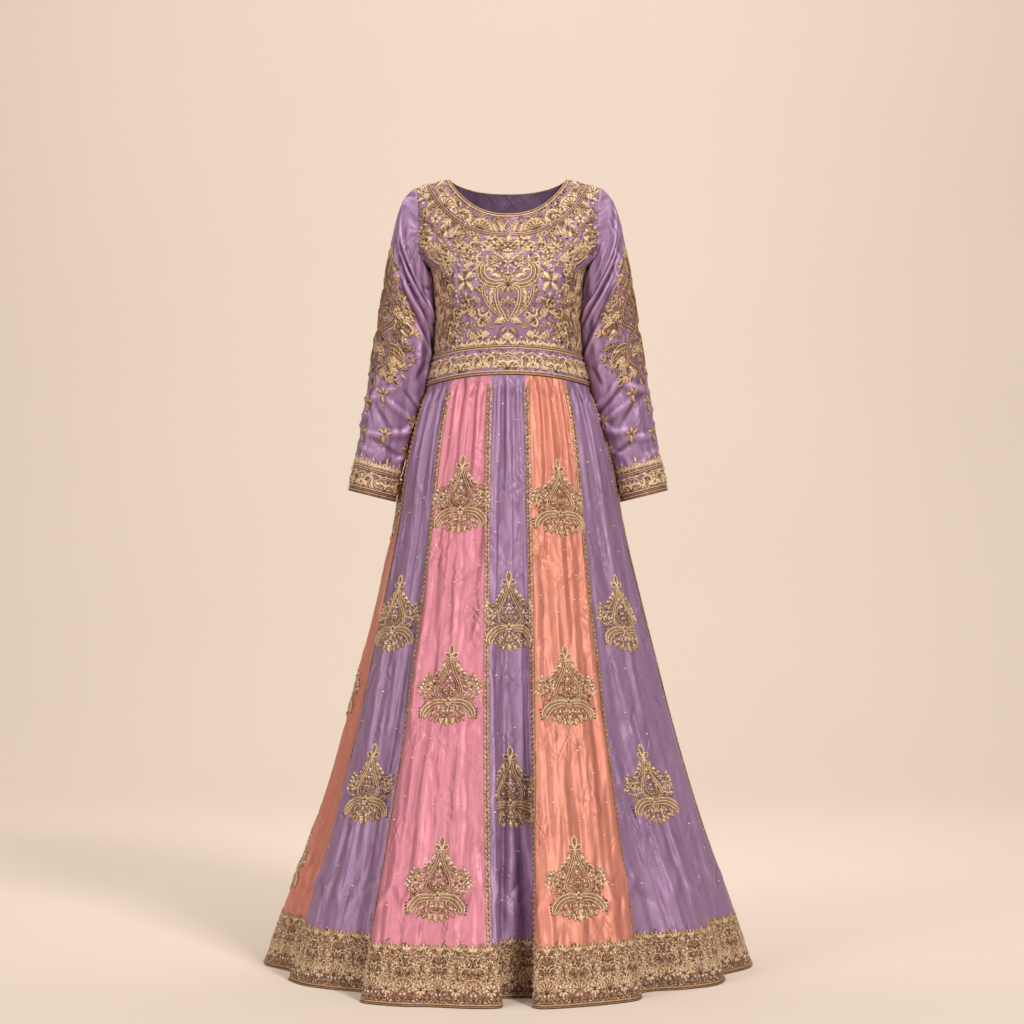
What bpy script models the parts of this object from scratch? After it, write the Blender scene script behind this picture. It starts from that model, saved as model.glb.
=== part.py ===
"""An anarkali gown in the hollow form that it has when it is worn, as solid cloth walls.

The gown is a fitted bodice with long set-in sleeves and cuffs, a waistband, and a full skirt of ten
tapering panels (kalis) whose seams carry a narrow gold trim. Each cut piece of cloth is one object.
Units are metres. +Z is up, the front faces -Y, and the origin lies between the two points where the
shoulder seams meet the neck, which is where a wearer's shoulders hold the gown.

Every piece is a grid on a smooth surface. The surface gives a piece's face, and the piece's own wall
lies inside it, so that pieces that share a seam have the same thickness direction there.
"""

import math
from collections import namedtuple

import bmesh
import bpy
import numpy as np
from mathutils import Vector

# Driving dimensions.
GOWN_LENGTH = 1.460  # from the shoulder to the hem
WALL = 0.0015  # the cloth with its embroidery backing
SEAM_GAP = 0.0003
LAY_GAP = 0.0009  # between a panel and what lies on it, clear of the panel's facets
RAISED_WORK = 0.0012  # how far a fully embroidered band stands up from plain cloth

# Shoulders and neck. A drop is measured down from the shoulder line.
NECK_HALF_WIDTH = 0.108
SHOULDER_HALF_WIDTH = 0.169
SHOULDER_CROWN = 0.007  # the shoulder line's height on the centre plane
SHOULDER_FALL = 0.023  # how far it falls from there to the armhole
SHOULDER_FALL_POWER = 2.2
SHOULDER_ROLL = 0.060  # the drop over which the chest turns over into the shoulder
FRONT_NECK_DROP = 0.080
BACK_NECK_DROP = 0.029
NECK_CURVE = (2.3, 0.85)  # powers of the neckline's curve
NECK_SHARE = 0.55  # the part of a bodice's top edge that is neckline
UNDERARM_ROW = 0.50  # the part of a bodice's side edge that is side seam
UNDERARM_DROP = 0.163
BAND_TOP_DROP = 0.321
WAIST_DROP = 0.376
BUST_RISE = 0.007
BUST_CENTRE = (0.062, -0.222)  # across, up
BUST_SPREAD = 0.036

# Sleeves.
SLEEVE_LENGTH = 0.607
ARMHOLE_GAP = 0.0006
SLEEVE_CAP_RISE = 0.006  # the sleeve leaves the armhole squarely before it turns down
SLEEVE_CAP_LENGTH = 0.010
CUFF_DEPTH = 0.056

# Skirt.
KALI_COUNT = 10
BORDER_DEPTH = 0.140  # the embroidered border at the hem
TRIM_HALF_WIDTH = 0.0050
TRIM_THICKNESS = 0.0014
GATHERS_PER_KALI = 4
GATHER_DEPTH = 0.0032
GATHER_REACH = 0.20  # the part of the skirt's length in which the gathers fade out
FOLD_GROWTH = 0.90  # power with which the folds deepen towards the hem

NECK_BINDING_WIDTH = 0.013
CORD_HEIGHT = 0.0012  # how far the binding's two cords stand up from its backing
CORD_COUNT = 2
NECK_BACKING = 0.0012

TorsoRow = namedtuple("TorsoRow", "drop half_width front back")
TORSO = (
    TorsoRow(0.000, 0.2055, 0.062, 0.058),
    TorsoRow(0.030, 0.2065, 0.067, 0.066),
    TorsoRow(0.070, 0.2030, 0.079, 0.080),
    TorsoRow(0.105, 0.1930, 0.090, 0.091),
    TorsoRow(0.130, 0.1750, 0.099, 0.097),
    TorsoRow(0.150, 0.1560, 0.105, 0.100),
    TorsoRow(0.163, 0.1435, 0.109, 0.101),
    TorsoRow(0.200, 0.1375, 0.114, 0.099),
    TorsoRow(0.225, 0.1355, 0.115, 0.096),
    TorsoRow(0.265, 0.1343, 0.110, 0.091),
    TorsoRow(0.318, 0.1375, 0.108, 0.094),
    TorsoRow(0.345, 0.1420, 0.111, 0.099),
    TorsoRow(0.376, 0.1505, 0.117, 0.106),
)

# The armhole's edge from underarm to shoulder, as a wrap angle round the torso and a drop.
ArmholeRow = namedtuple("ArmholeRow", "share angle drop")
ARMHOLE = (
    ArmholeRow(0.00, 90.0, 0.163),
    ArmholeRow(0.14, 76.0, 0.149),
    ArmholeRow(0.30, 64.5, 0.126),
    ArmholeRow(0.48, 57.0, 0.098),
    ArmholeRow(0.66, 54.0, 0.068),
    ArmholeRow(0.84, 53.5, 0.035),
    ArmholeRow(1.00, 55.5, 0.000),
)

# Sleeve rings in the front view: the outer and inner point of each, how deep and far forward it is,
# and how far its front and back bow out from the body.
SleeveRow = namedtuple("SleeveRow", "along outer_x outer_z inner_x inner_z half_depth centre_y bow")
SLEEVE = (
    SleeveRow(0.030, 0.1905, -0.0330, 0.1425, -0.186, 0.0510, 0.001, 0.013),
    SleeveRow(0.065, 0.2040, -0.0620, 0.1400, -0.206, 0.0515, 0.002, 0.011),
    SleeveRow(0.110, 0.2145, -0.1040, 0.1385, -0.230, 0.0510, 0.003, 0.007),
    SleeveRow(0.160, 0.2235, -0.1520, 0.1380, -0.258, 0.0505, 0.004, 0.003),
    SleeveRow(0.220, 0.2325, -0.2080, 0.1395, -0.294, 0.0500, 0.004, 0.000),
    SleeveRow(0.290, 0.2430, -0.2780, 0.1475, -0.340, 0.0505, 0.003, 0.000),
    SleeveRow(0.350, 0.2525, -0.3350, 0.1590, -0.381, 0.0500, 0.001, 0.000),
    SleeveRow(0.410, 0.2620, -0.3940, 0.1735, -0.427, 0.0490, -0.001, 0.000),
    SleeveRow(0.490, 0.2750, -0.4710, 0.1895, -0.497, 0.0475, -0.004, 0.000),
    SleeveRow(0.551, 0.2855, -0.5280, 0.2010, -0.552, 0.0465, -0.006, 0.000),
    SleeveRow(0.607, 0.2945, -0.5790, 0.2105, -0.600, 0.0465, -0.008, 0.000),
)

# The skirt without its folds, from the waist seam to the hem.
SkirtRow = namedtuple("SkirtRow", "share half_width front back")
SKIRT = (
    SkirtRow(0.000, 0.1505, 0.117, 0.106),
    SkirtRow(0.014, 0.1550, 0.120, 0.111),
    SkirtRow(0.045, 0.1665, 0.128, 0.124),
    SkirtRow(0.075, 0.1765, 0.136, 0.136),
    SkirtRow(0.105, 0.1850, 0.143, 0.147),
    SkirtRow(0.150, 0.1960, 0.153, 0.159),
    SkirtRow(0.230, 0.2110, 0.169, 0.177),
    SkirtRow(0.360, 0.2435, 0.198, 0.208),
    SkirtRow(0.465, 0.2715, 0.227, 0.235),
    SkirtRow(0.570, 0.3000, 0.259, 0.265),
    SkirtRow(0.670, 0.3300, 0.294, 0.298),
    SkirtRow(0.773, 0.3646, 0.333, 0.334),
    SkirtRow(0.875, 0.4046, 0.377, 0.377),
    SkirtRow(1.000, 0.4500, 0.430, 0.428),
)

# Where the panels' edges lie round the waist. Panel 0 is the centre front; bearings are in degrees from
# the front, positive to +X, and a panel's edges lie half a panel from its number.
WaistRow = namedtuple("WaistRow", "panel bearing")
WAIST = (
    WaistRow(-5.0, -180.0),
    WaistRow(-4.5, -160.0),
    WaistRow(-3.5, -124.0),
    WaistRow(-2.5, -80.0),
    WaistRow(-1.5, -51.0),
    WaistRow(-0.5, -15.4),
    WaistRow(0.5, 15.4),
    WaistRow(1.5, 51.0),
    WaistRow(2.5, 81.0),
    WaistRow(3.5, 124.0),
    WaistRow(4.5, 160.0),
    WaistRow(5.0, 180.0),
)

# The hem's line on plan: the crests and troughs of its folds.
HemRow = namedtuple("HemRow", "panel bearing radius")
HEM = (
    HemRow(-5.00, -182.0, 0.444),
    HemRow(-4.86, -177.0, 0.420),
    HemRow(-4.76, -172.5, 0.398),
    HemRow(-4.62, -167.0, 0.428),
    HemRow(-4.50, -162.0, 0.448),
    HemRow(-4.34, -155.0, 0.432),
    HemRow(-4.20, -149.0, 0.402),
    HemRow(-4.05, -143.5, 0.420),
    HemRow(-3.86, -135.5, 0.452),
    HemRow(-3.66, -126.0, 0.436),
    HemRow(-3.50, -118.5, 0.408),
    HemRow(-3.30, -110.0, 0.434),
    HemRow(-3.06, -99.0, 0.459),
    HemRow(-2.88, -90.0, 0.450),
    HemRow(-2.70, -80.5, 0.408),
    HemRow(-2.58, -74.5, 0.397),
    HemRow(-2.50, -71.0, 0.410),
    HemRow(-2.38, -66.5, 0.427),
    HemRow(-2.24, -60.5, 0.426),
    HemRow(-2.00, -51.0, 0.409),
    HemRow(-1.80, -43.0, 0.388),
    HemRow(-1.66, -37.5, 0.382),
    HemRow(-1.57, -35.2, 0.412),
    HemRow(-1.50, -34.0, 0.450),
    HemRow(-1.42, -31.0, 0.466),
    HemRow(-1.20, -23.5, 0.463),
    HemRow(-0.95, -16.5, 0.449),
    HemRow(-0.65, -7.5, 0.450),
    HemRow(-0.50, -3.4, 0.446),
    HemRow(-0.40, -1.7, 0.440),
    HemRow(-0.32, -1.5, 0.415),
    HemRow(-0.22, -3.0, 0.374),
    HemRow(-0.10, -1.2, 0.350),
    HemRow(0.10, 3.4, 0.346),
    HemRow(0.30, 7.6, 0.352),
    HemRow(0.41, 7.6, 0.392),
    HemRow(0.50, 5.8, 0.436),
    HemRow(0.60, 7.8, 0.454),
    HemRow(0.85, 14.0, 0.449),
    HemRow(1.15, 22.5, 0.441),
    HemRow(1.38, 30.5, 0.432),
    HemRow(1.50, 34.5, 0.408),
    HemRow(1.60, 37.5, 0.376),
    HemRow(1.74, 42.5, 0.378),
    HemRow(1.90, 50.5, 0.408),
    HemRow(2.08, 60.5, 0.430),
    HemRow(2.18, 67.0, 0.423),
    HemRow(2.25, 71.0, 0.402),
    HemRow(2.32, 75.5, 0.410),
    HemRow(2.44, 87.5, 0.450),
    HemRow(2.50, 94.0, 0.454),
    HemRow(2.72, 104.0, 0.436),
    HemRow(2.88, 111.0, 0.408),
    HemRow(3.10, 120.0, 0.434),
    HemRow(3.32, 128.0, 0.452),
    HemRow(3.50, 134.0, 0.432),
    HemRow(3.64, 138.5, 0.400),
    HemRow(3.86, 145.0, 0.428),
    HemRow(4.12, 152.0, 0.450),
    HemRow(4.36, 158.5, 0.440),
    HemRow(4.50, 162.0, 0.408),
    HemRow(4.62, 165.5, 0.396),
    HemRow(4.82, 171.5, 0.434),
    HemRow(5.00, 178.0, 0.444),
)

KALI_ROWS = (0.0, 0.018, 0.05, 0.10, 0.18, 0.30, 0.43, 0.57, 0.71, 0.865, 0.874, 0.935, 1.0)
KALI_LAST_ROW = len(KALI_ROWS) - 1
KALI_COLUMNS = 12
TRIM_ROWS = (1, 9)  # the first and last panel row that a trim covers
SLEEVE_COLUMNS = 18  # half of them meet a bodice's armhole, row by row
SLEEVE_LINES = (0.0, 0.010, 0.024, 0.045, 0.075, 0.11, 0.15, 0.195, 0.245, 0.295, 0.345, 0.395, 0.445, 0.50)
SIDE_SEAM_ROWS = 5
BAND_COLUMNS = 20
NECK_COLUMNS = 18

SILK = {
    "lilac": (0.31, 0.19, 0.29),
    "rose": (0.74, 0.26, 0.33),
    "coral": (0.76, 0.29, 0.17),
}
GOLD = (0.52, 0.36, 0.17)
KALI_COLOURS = {-3: "coral", -1: "rose", 1: "coral", 3: "coral", 5: "rose"}  # the others are lilac


def through(rows, column, at, key=0):
    """A smooth curve through one column of a table, with no overshoot between its rows."""
    xs = np.array([row[key] for row in rows])
    ys = np.array([getattr(row, column) for row in rows])
    at = np.clip(np.asarray(at, float), xs[0], xs[-1])
    step = np.diff(xs)
    slope = np.diff(ys) / step
    tangent = np.zeros(len(xs))
    same_way = slope[:-1] * slope[1:] > 0
    weight_a = 2 * step[1:] + step[:-1]
    weight_b = step[1:] + 2 * step[:-1]
    safe = np.where(same_way, slope[:-1] * slope[1:], 1.0)
    mean = (weight_a + weight_b) * safe / (weight_a * slope[1:] + weight_b * slope[:-1] + (~same_way))
    tangent[1:-1] = np.where(same_way, mean, 0.0)
    tangent[0] = slope[0]
    tangent[-1] = slope[-1]
    i = np.clip(np.searchsorted(xs, at, side="right") - 1, 0, len(xs) - 2)
    f = (at - xs[i]) / step[i]
    rise = f * f * (3 - 2 * f)
    start = f * (1 - f) ** 2 * tangent[i]
    end = f * f * (f - 1) * tangent[i + 1]
    return ys[i] + (ys[i + 1] - ys[i]) * rise + (start + end) * step[i]


def smoothstep(low, high, value):
    share = np.clip((value - low) / (high - low), 0, 1)
    return share * share * (3 - 2 * share)


def unit(vectors):
    return vectors / np.maximum(np.linalg.norm(vectors, axis=-1, keepdims=True), 1e-12)


# ---- The torso: bodice and waistband ----


def fall_of(drop):
    """The way down over the rounded shoulder that gives a drop."""
    turned = np.arccos(1 - np.clip(drop / SHOULDER_ROLL, 0, 1))
    return SHOULDER_ROLL * turned + np.maximum(drop - SHOULDER_ROLL, 0)


def drop_of(fall):
    turned = np.clip(fall / SHOULDER_ROLL, 0, math.pi / 2)
    return SHOULDER_ROLL * (1 - np.cos(turned)) + np.maximum(fall - SHOULDER_ROLL * math.pi / 2, 0)


def torso_point(angle, fall, face):
    """The torso at a wrap angle from the centre plane and a fall; face is -1 for front, 1 for back."""
    drop = drop_of(fall)
    width = through(TORSO, "half_width", drop)
    depth = through(TORSO, "front" if face < 0 else "back", drop)
    roll = np.sin(np.clip(fall / SHOULDER_ROLL, 0, math.pi / 2))
    x = width * np.sin(angle)
    y = face * depth * roll * np.cos(angle)
    z = SHOULDER_CROWN - SHOULDER_FALL * (abs(x) / SHOULDER_HALF_WIDTH) ** SHOULDER_FALL_POWER - drop
    if face < 0:
        away = (abs(x) - BUST_CENTRE[0]) ** 2 + (z - BUST_CENTRE[1]) ** 2
        y = y - BUST_RISE * np.exp(-away / (2 * BUST_SPREAD**2)) * np.cos(angle)
    return np.stack([x, y, z], axis=-1)


def bodice_top_edge(across, face):
    """(wrap angle, fall) along a bodice's top edge: the neckline, and the shoulder seams beside it."""
    neck_drop = FRONT_NECK_DROP if face < 0 else BACK_NECK_DROP
    out = np.clip(abs(across) / NECK_SHARE, 0, 1)
    outer_power, inner_power = NECK_CURVE
    drop = neck_drop * np.maximum(1 - out**outer_power, 0) ** inner_power
    along_shoulder = np.clip((abs(across) - NECK_SHARE) / (1 - NECK_SHARE), 0, 1)
    x = NECK_HALF_WIDTH * out + (SHOULDER_HALF_WIDTH - NECK_HALF_WIDTH) * along_shoulder
    angle = np.arcsin(x / through(TORSO, "half_width", drop)) * np.sign(across)
    return angle, fall_of(drop)


def bodice_side_edge(up):
    """(wrap angle, fall) up a bodice's side: the side seam, then the armhole."""
    share = np.clip((up - UNDERARM_ROW) / (1 - UNDERARM_ROW), 0, 1)
    seam_drop = BAND_TOP_DROP + (UNDERARM_DROP - BAND_TOP_DROP) * np.clip(up / UNDERARM_ROW, 0, 1)
    fall = np.where(up < UNDERARM_ROW, fall_of(seam_drop), armhole_fall(share))
    return armhole_angle(share), fall


def shoulder_angle():
    """The wrap angle at which the shoulder seam meets the armhole."""
    return math.asin(SHOULDER_HALF_WIDTH / TORSO[0].half_width)


def armhole_angle(share):
    """The table's angle, carried to the shoulder seam's own end."""
    carried = shoulder_angle() - math.radians(ARMHOLE[-1].angle)
    return np.radians(through(ARMHOLE, "angle", share)) + carried * share**3


def armhole_fall(share):
    return fall_of(through(ARMHOLE, "drop", share))


def bodice_surface(face):
    """The bodice panel, blended between its four edges.

    across runs from -1 to 1, to the right as seen from outside, and up runs from 0 to 1.
    """

    def at(across, up):
        across = -face * across
        top_angle, top_fall = bodice_top_edge(across, face)
        side_angle, side_fall = bodice_side_edge(up)
        angle = up * top_angle + across * (side_angle - shoulder_angle() * up)
        return torso_point(angle, side_fall + up * top_fall, face)

    return at


def armhole_point(side, face, share):
    """A point on the armhole's edge, from the underarm at 0 to the shoulder at 1."""
    point = torso_point(armhole_angle(share), armhole_fall(share), face)
    return point * np.array([side, 1, 1])


def armhole_plane():
    """The outward normal of the armhole's plane, on the +X side."""
    top = armhole_point(1, -1, np.array([1.0]))[0]
    bottom = armhole_point(1, -1, np.array([0.0]))[0]
    along = top - bottom
    return unit(np.array([along[2], 0.0, -along[0]]))


def band_surface(face):
    def at(across, up):
        drop = WAIST_DROP + (BAND_TOP_DROP - WAIST_DROP) * up
        return torso_point(-face * across * math.pi / 2, fall_of(drop), face)

    return at


# ---- The sleeves ----


def sleeve_ring(row, side, angle):
    """A ring of the sleeve; angle 0 is its outer side and 90 degrees its front."""
    centre = np.array([(row.outer_x + row.inner_x) / 2, row.centre_y, (row.outer_z + row.inner_z) / 2])
    reach = np.array([(row.outer_x - row.inner_x) / 2, 0, (row.outer_z - row.inner_z) / 2])
    forward = np.array([0, -row.half_depth, 0])
    ring = centre + np.cos(angle)[..., None] * reach + np.sin(angle)[..., None] * forward
    ring[..., 0] += row.bow * np.sin(angle) ** 2
    return ring * np.array([side, 1, 1])


def sleeve_head(side, angle, out):
    """The armhole's own edge, moved out of the armhole."""
    turn = np.degrees(angle) % 360
    front = armhole_point(side, -1, np.clip(1 - turn / 180, 0, 1))
    back = armhole_point(side, 1, np.clip(turn / 180 - 1, 0, 1))
    edge = np.where((turn <= 180)[..., None], front, back)
    return edge + out * armhole_plane() * np.array([side, 1, 1])


def sleeve_surface(side, start, end):
    """The sleeve between two lengths; across runs round it from the underarm seam."""
    lengths = [0.0, SLEEVE_CAP_LENGTH] + [row.along for row in SLEEVE]

    def at(across, up):
        angle = math.pi * (2 - side * across)
        rings = [sleeve_head(side, angle, out) for out in (ARMHOLE_GAP, ARMHOLE_GAP + SLEEVE_CAP_RISE)]
        rings += [sleeve_ring(row, side, angle) for row in SLEEVE]
        along = start + (end - start) * up
        columns = np.stack(rings)
        index = np.clip(np.searchsorted(lengths, along, side="right") - 1, 0, len(lengths) - 2)
        points = np.empty(columns.shape[1:])
        for i in range(len(lengths) - 1):
            here = index == i
            if not here.any():
                continue
            gap = lengths[i + 1] - lengths[i]
            f = ((along[here] - lengths[i]) / gap)[:, None]
            p0 = columns[i][here]
            p1 = columns[i + 1][here]
            before = max(i - 1, 0)
            after = min(i + 2, len(lengths) - 1)
            m0 = (p1 - columns[before][here]) / (lengths[i + 1] - lengths[before]) * gap
            m1 = (columns[after][here] - p0) / (lengths[after] - lengths[i]) * gap
            points[here] = (
                p0 * (1 + 2 * f) * (1 - f) ** 2
                + p1 * f * f * (3 - 2 * f)
                + m0 * f * (1 - f) ** 2
                + m1 * f * f * (f - 1)
            )
        return points

    return at


# ---- The skirt ----


def skirt_point(panel, down):
    """The skirt's face at a panel number (0 is the centre front) and a share of its length."""
    growth = down**FOLD_GROWTH
    panel = (np.asarray(panel, float) + KALI_COUNT / 2) % KALI_COUNT - KALI_COUNT / 2
    waist_bearing = through(WAIST, "bearing", panel)
    hem_bearing = through(HEM, "bearing", panel)
    bearing = np.radians(waist_bearing + (hem_bearing - waist_bearing) * growth)
    front = np.cos(bearing) > 0

    def base(share):
        width = through(SKIRT, "half_width", share)
        depth = np.where(front, through(SKIRT, "front", share), through(SKIRT, "back", share))
        return width * depth / np.hypot(depth * np.sin(bearing), width * np.cos(bearing))

    hem_base = base(np.ones_like(down))
    fold = through(HEM, "radius", panel) / hem_base - 1
    wave = np.cos(2 * math.pi * GATHERS_PER_KALI * (panel + 0.5))
    gather = GATHER_DEPTH * wave * np.exp(-((down / GATHER_REACH) ** 2)) * smoothstep(0, 0.03, down)
    radius = base(down) * (1 + fold * growth) + gather
    x = radius * np.sin(bearing)
    y = -radius * np.cos(bearing)
    waist_x = base(np.zeros_like(down)) * np.sin(bearing)
    waist_fall = SHOULDER_FALL * (abs(waist_x) / SHOULDER_HALF_WIDTH) ** SHOULDER_FALL_POWER
    waist_z = SHOULDER_CROWN - waist_fall - WAIST_DROP - SEAM_GAP
    return np.stack([x, y, waist_z + (-GOWN_LENGTH - waist_z) * down], axis=-1)


def kali_surface(number):
    edge = 0.5

    def at(across, up):
        return skirt_point(number + edge * across, 1 - up)

    return at


# ---- Solids ----


def outward(surface, across, up, endless):
    """The surface's unit normals, which point away from the gown's inside."""
    step = 1e-3
    reach = 1 + step if endless else 1
    wide = surface(np.minimum(across + step, reach), up) - surface(np.maximum(across - step, -reach), up)
    high = surface(across, np.minimum(up + step, 1)) - surface(across, np.maximum(up - step, 0))
    return unit(np.cross(wide, high))


def flattened(normals, where, plane, share=1.0):
    """The normals turned into a seam's plane wherever the mask says."""
    plane = unit(np.asarray(plane, float))
    part = (normals @ plane)[:, None] * plane
    return np.where(where[:, None], unit(normals - np.asarray(share)[..., None] * part), normals)


def opened(points, edges):
    """The grid's points with its outer lines moved in, by half a seam's gap for each named edge."""
    half = SEAM_GAP / 2
    ends = {"left": (0, 0, 1), "right": (0, -1, -2), "bottom": (1, 0, 1), "top": (1, -1, -2)}
    for edge in edges:
        way, line, beside = ends[edge]
        grid = points if way == 0 else points.swapaxes(0, 1)
        grid[line] += unit(grid[beside] - grid[line]) * half
    return points


def cloth(
    name,
    surface,
    columns,
    rows,
    colour,
    edges=(),
    seams=None,
    lift=0.0,
    wall=WALL,
    relief=None,
    endless=False,
):
    """One piece of cloth as a closed wall.

    columns and rows are the grid's lines, from -1 to 1 across and from 0 to 1 up. edges names the sides
    that are sewn. seams turns the wall's edges into the seams' planes. lift moves the piece off its
    surface, relief raises its outer points alone, and an endless surface goes on past its sides.
    """
    across, up = np.meshgrid(columns, rows, indexing="ij")
    flat = across.ravel(), up.ravel()
    normals = outward(surface, *flat, endless)
    points = opened(surface(*flat).reshape(*across.shape, 3), edges).reshape(-1, 3)
    into = seams(normals, *flat) if seams else normals
    raised = relief(*flat) if relief else np.zeros(len(points))
    outer = points + into * (lift + raised)[:, None]
    inner = points + into * (lift - wall)
    return finished(name, wall_between(outer, inner, across.shape), colour)


def wall_between(outer, inner, size):
    """A closed mesh of two grids of points and the rim that joins them."""
    shape = bmesh.new()
    bmesh.ops.create_grid(shape, x_segments=size[0] - 1, y_segments=size[1] - 1, size=1)
    bmesh.ops.extrude_face_region(shape, geom=list(shape.faces), use_keep_orig=True)
    shape.verts.ensure_lookup_table()
    for index, vertex in enumerate(shape.verts):
        column = round((vertex.co.x + 1) / 2 * (size[0] - 1))
        row = round((vertex.co.y + 1) / 2 * (size[1] - 1))
        layer = outer if index < size[0] * size[1] else inner
        vertex.co = Vector(layer[column * size[1] + row])
    bmesh.ops.recalc_face_normals(shape, faces=list(shape.faces))
    return shape


def finished(name, shape, colour):
    """The mesh as a named object with its own material."""
    mesh = bpy.data.meshes.new(name)
    shape.to_mesh(mesh)
    shape.free()
    mesh.shade_smooth()
    mesh.set_sharp_from_angle(angle=math.radians(50))
    mesh.materials.append(dyed(name, colour))
    obj = bpy.data.objects.new(name, mesh)
    bpy.context.scene.collection.objects.link(obj)
    return obj


def dyed(name, colour):
    material = bpy.data.materials.new(name)
    material.use_nodes = True
    shader = material.node_tree.nodes["Principled BSDF"]
    metal = colour == GOLD
    shader.inputs["Base Color"].default_value = (*colour, 1.0)
    shader.inputs["Roughness"].default_value = 0.38 if metal else 0.5
    shader.inputs["Metallic"].default_value = 0.7 if metal else 0.0
    return material


def spaced(low, high, count):
    return [low + (high - low) * i / count for i in range(count + 1)]


# ---- The gown's pieces ----


def bodice(name, face):
    plane = armhole_plane()

    def seams(normals, across, up):
        edge = abs(across) > 0.999
        top = (up > 0.999) & (abs(across) >= NECK_SHARE)
        armhole = edge & (up > UNDERARM_ROW)
        turned = flattened(normals, up < 0.001, [0.0, 0.0, 1.0])
        turned = flattened(turned, (edge & (up <= UNDERARM_ROW)) | top, [0.0, 1.0, 0.0])
        share = smoothstep(0.15, 0.5, (up - UNDERARM_ROW) / (1 - UNDERARM_ROW))
        for side in (-1, 1):
            here = armhole & (np.sign(across) == side)
            turned = flattened(turned, here, plane * [side, 1, 1], share)
        return flattened(turned, edge & (up > 0.999), [0.0, 1.0, 0.0])

    half = [*spaced(0, NECK_SHARE, 7), *spaced(NECK_SHARE, 1, 3)[1:]]
    columns = [-c for c in reversed(half[1:])] + half
    edges = ("left", "right", "bottom", "top")
    rows = [*spaced(0, UNDERARM_ROW, SIDE_SEAM_ROWS), *spaced(UNDERARM_ROW, 1, SLEEVE_COLUMNS // 2)[1:]]
    return cloth(name, bodice_surface(face), columns, rows, SILK["lilac"], edges, seams)


def waistband(name, face):
    def seams(normals, across, up):
        turned = flattened(normals, (up < 0.01) | (up > 0.99), [0.0, 0.0, 1.0])
        return flattened(turned, abs(across) > 0.999, [0.0, 1.0, 0.0])

    def relief(across, up):
        return np.full(len(across), RAISED_WORK)

    edges = ("left", "right", "bottom", "top")
    columns = spaced(-1, 1, BAND_COLUMNS)
    return cloth(name, band_surface(face), columns, spaced(0, 1, 3), GOLD, edges, seams, relief=relief)


def sleeve(name, side):
    plane = armhole_plane() * [side, 1, 1]
    length = SLEEVE_LENGTH - CUFF_DEPTH

    def seams(normals, across, up):
        high = 1 - abs(across)
        share = smoothstep(0.15, 0.5, high)
        return flattened(normals, up > 0.999, plane, share)

    rows = [1 - along / length for along in reversed((*SLEEVE_LINES, length))]
    surface = sleeve_surface(side, length, 0.0)
    columns = spaced(-1, 1, SLEEVE_COLUMNS)
    return cloth(name, surface, columns, rows, SILK["lilac"], ("left", "right", "bottom"), seams)


def cuff(name, side):
    def relief(across, up):
        return np.full(len(across), RAISED_WORK)

    surface = sleeve_surface(side, SLEEVE_LENGTH, SLEEVE_LENGTH - CUFF_DEPTH)
    columns = spaced(-1, 1, SLEEVE_COLUMNS)
    return cloth(name, surface, columns, spaced(0, 1, 3), GOLD, ("left", "right", "top"), relief=relief)


def kali_grid(number):
    """The panel's points, column by column, before its wall is made."""
    rows = [1 - row for row in reversed(KALI_ROWS)]
    across, up = np.meshgrid(spaced(-1, 1, KALI_COLUMNS), rows, indexing="ij")
    return skirt_point(number + across / 2, 1 - up)


def kali(name, number):
    """A skirt panel; its border at the hem is raised."""
    border_top = BORDER_DEPTH / (GOWN_LENGTH - WAIST_DROP)

    def seams(normals, across, up):
        return flattened(normals, up > 0.999, [0.0, 0.0, 1.0])

    def relief(across, up):
        return np.where(up < border_top, RAISED_WORK, 0.0)

    rows = [1 - row for row in reversed(KALI_ROWS)]
    colour = SILK[KALI_COLOURS.get(number, "lilac")]
    return cloth(
        name,
        kali_surface(number),
        spaced(-1, 1, KALI_COLUMNS),
        rows,
        colour,
        ("left", "right", "top"),
        seams,
        relief=relief,
        endless=True,
    )


def seam_trim(name, number):
    """A strip over the seam on a panel's +X side, made from the two panels' own points."""
    here = kali_grid(number)
    after = kali_grid(number + 1)
    low = KALI_LAST_ROW - TRIM_ROWS[1]
    rows = slice(low, KALI_LAST_ROW - TRIM_ROWS[0] + 1)
    seam = here[-1, rows]
    before = unit(here[-2, rows] - seam)
    beyond = unit(after[1, rows] - seam)
    upward = unit(np.gradient(seam, axis=0))
    left_normal = unit(np.cross(upward, before))
    right_normal = unit(np.cross(beyond, upward))
    middle_normal = unit(left_normal + right_normal)
    line = np.stack([seam + before * TRIM_HALF_WIDTH, seam, seam + beyond * TRIM_HALF_WIDTH])
    normals = np.stack([left_normal, middle_normal, right_normal])
    inner = (line + normals * LAY_GAP).reshape(-1, 3)
    outer = (line + normals * (LAY_GAP + TRIM_THICKNESS)).reshape(-1, 3)
    return finished(name, wall_between(outer, inner, line.shape[:2]), GOLD)


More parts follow.
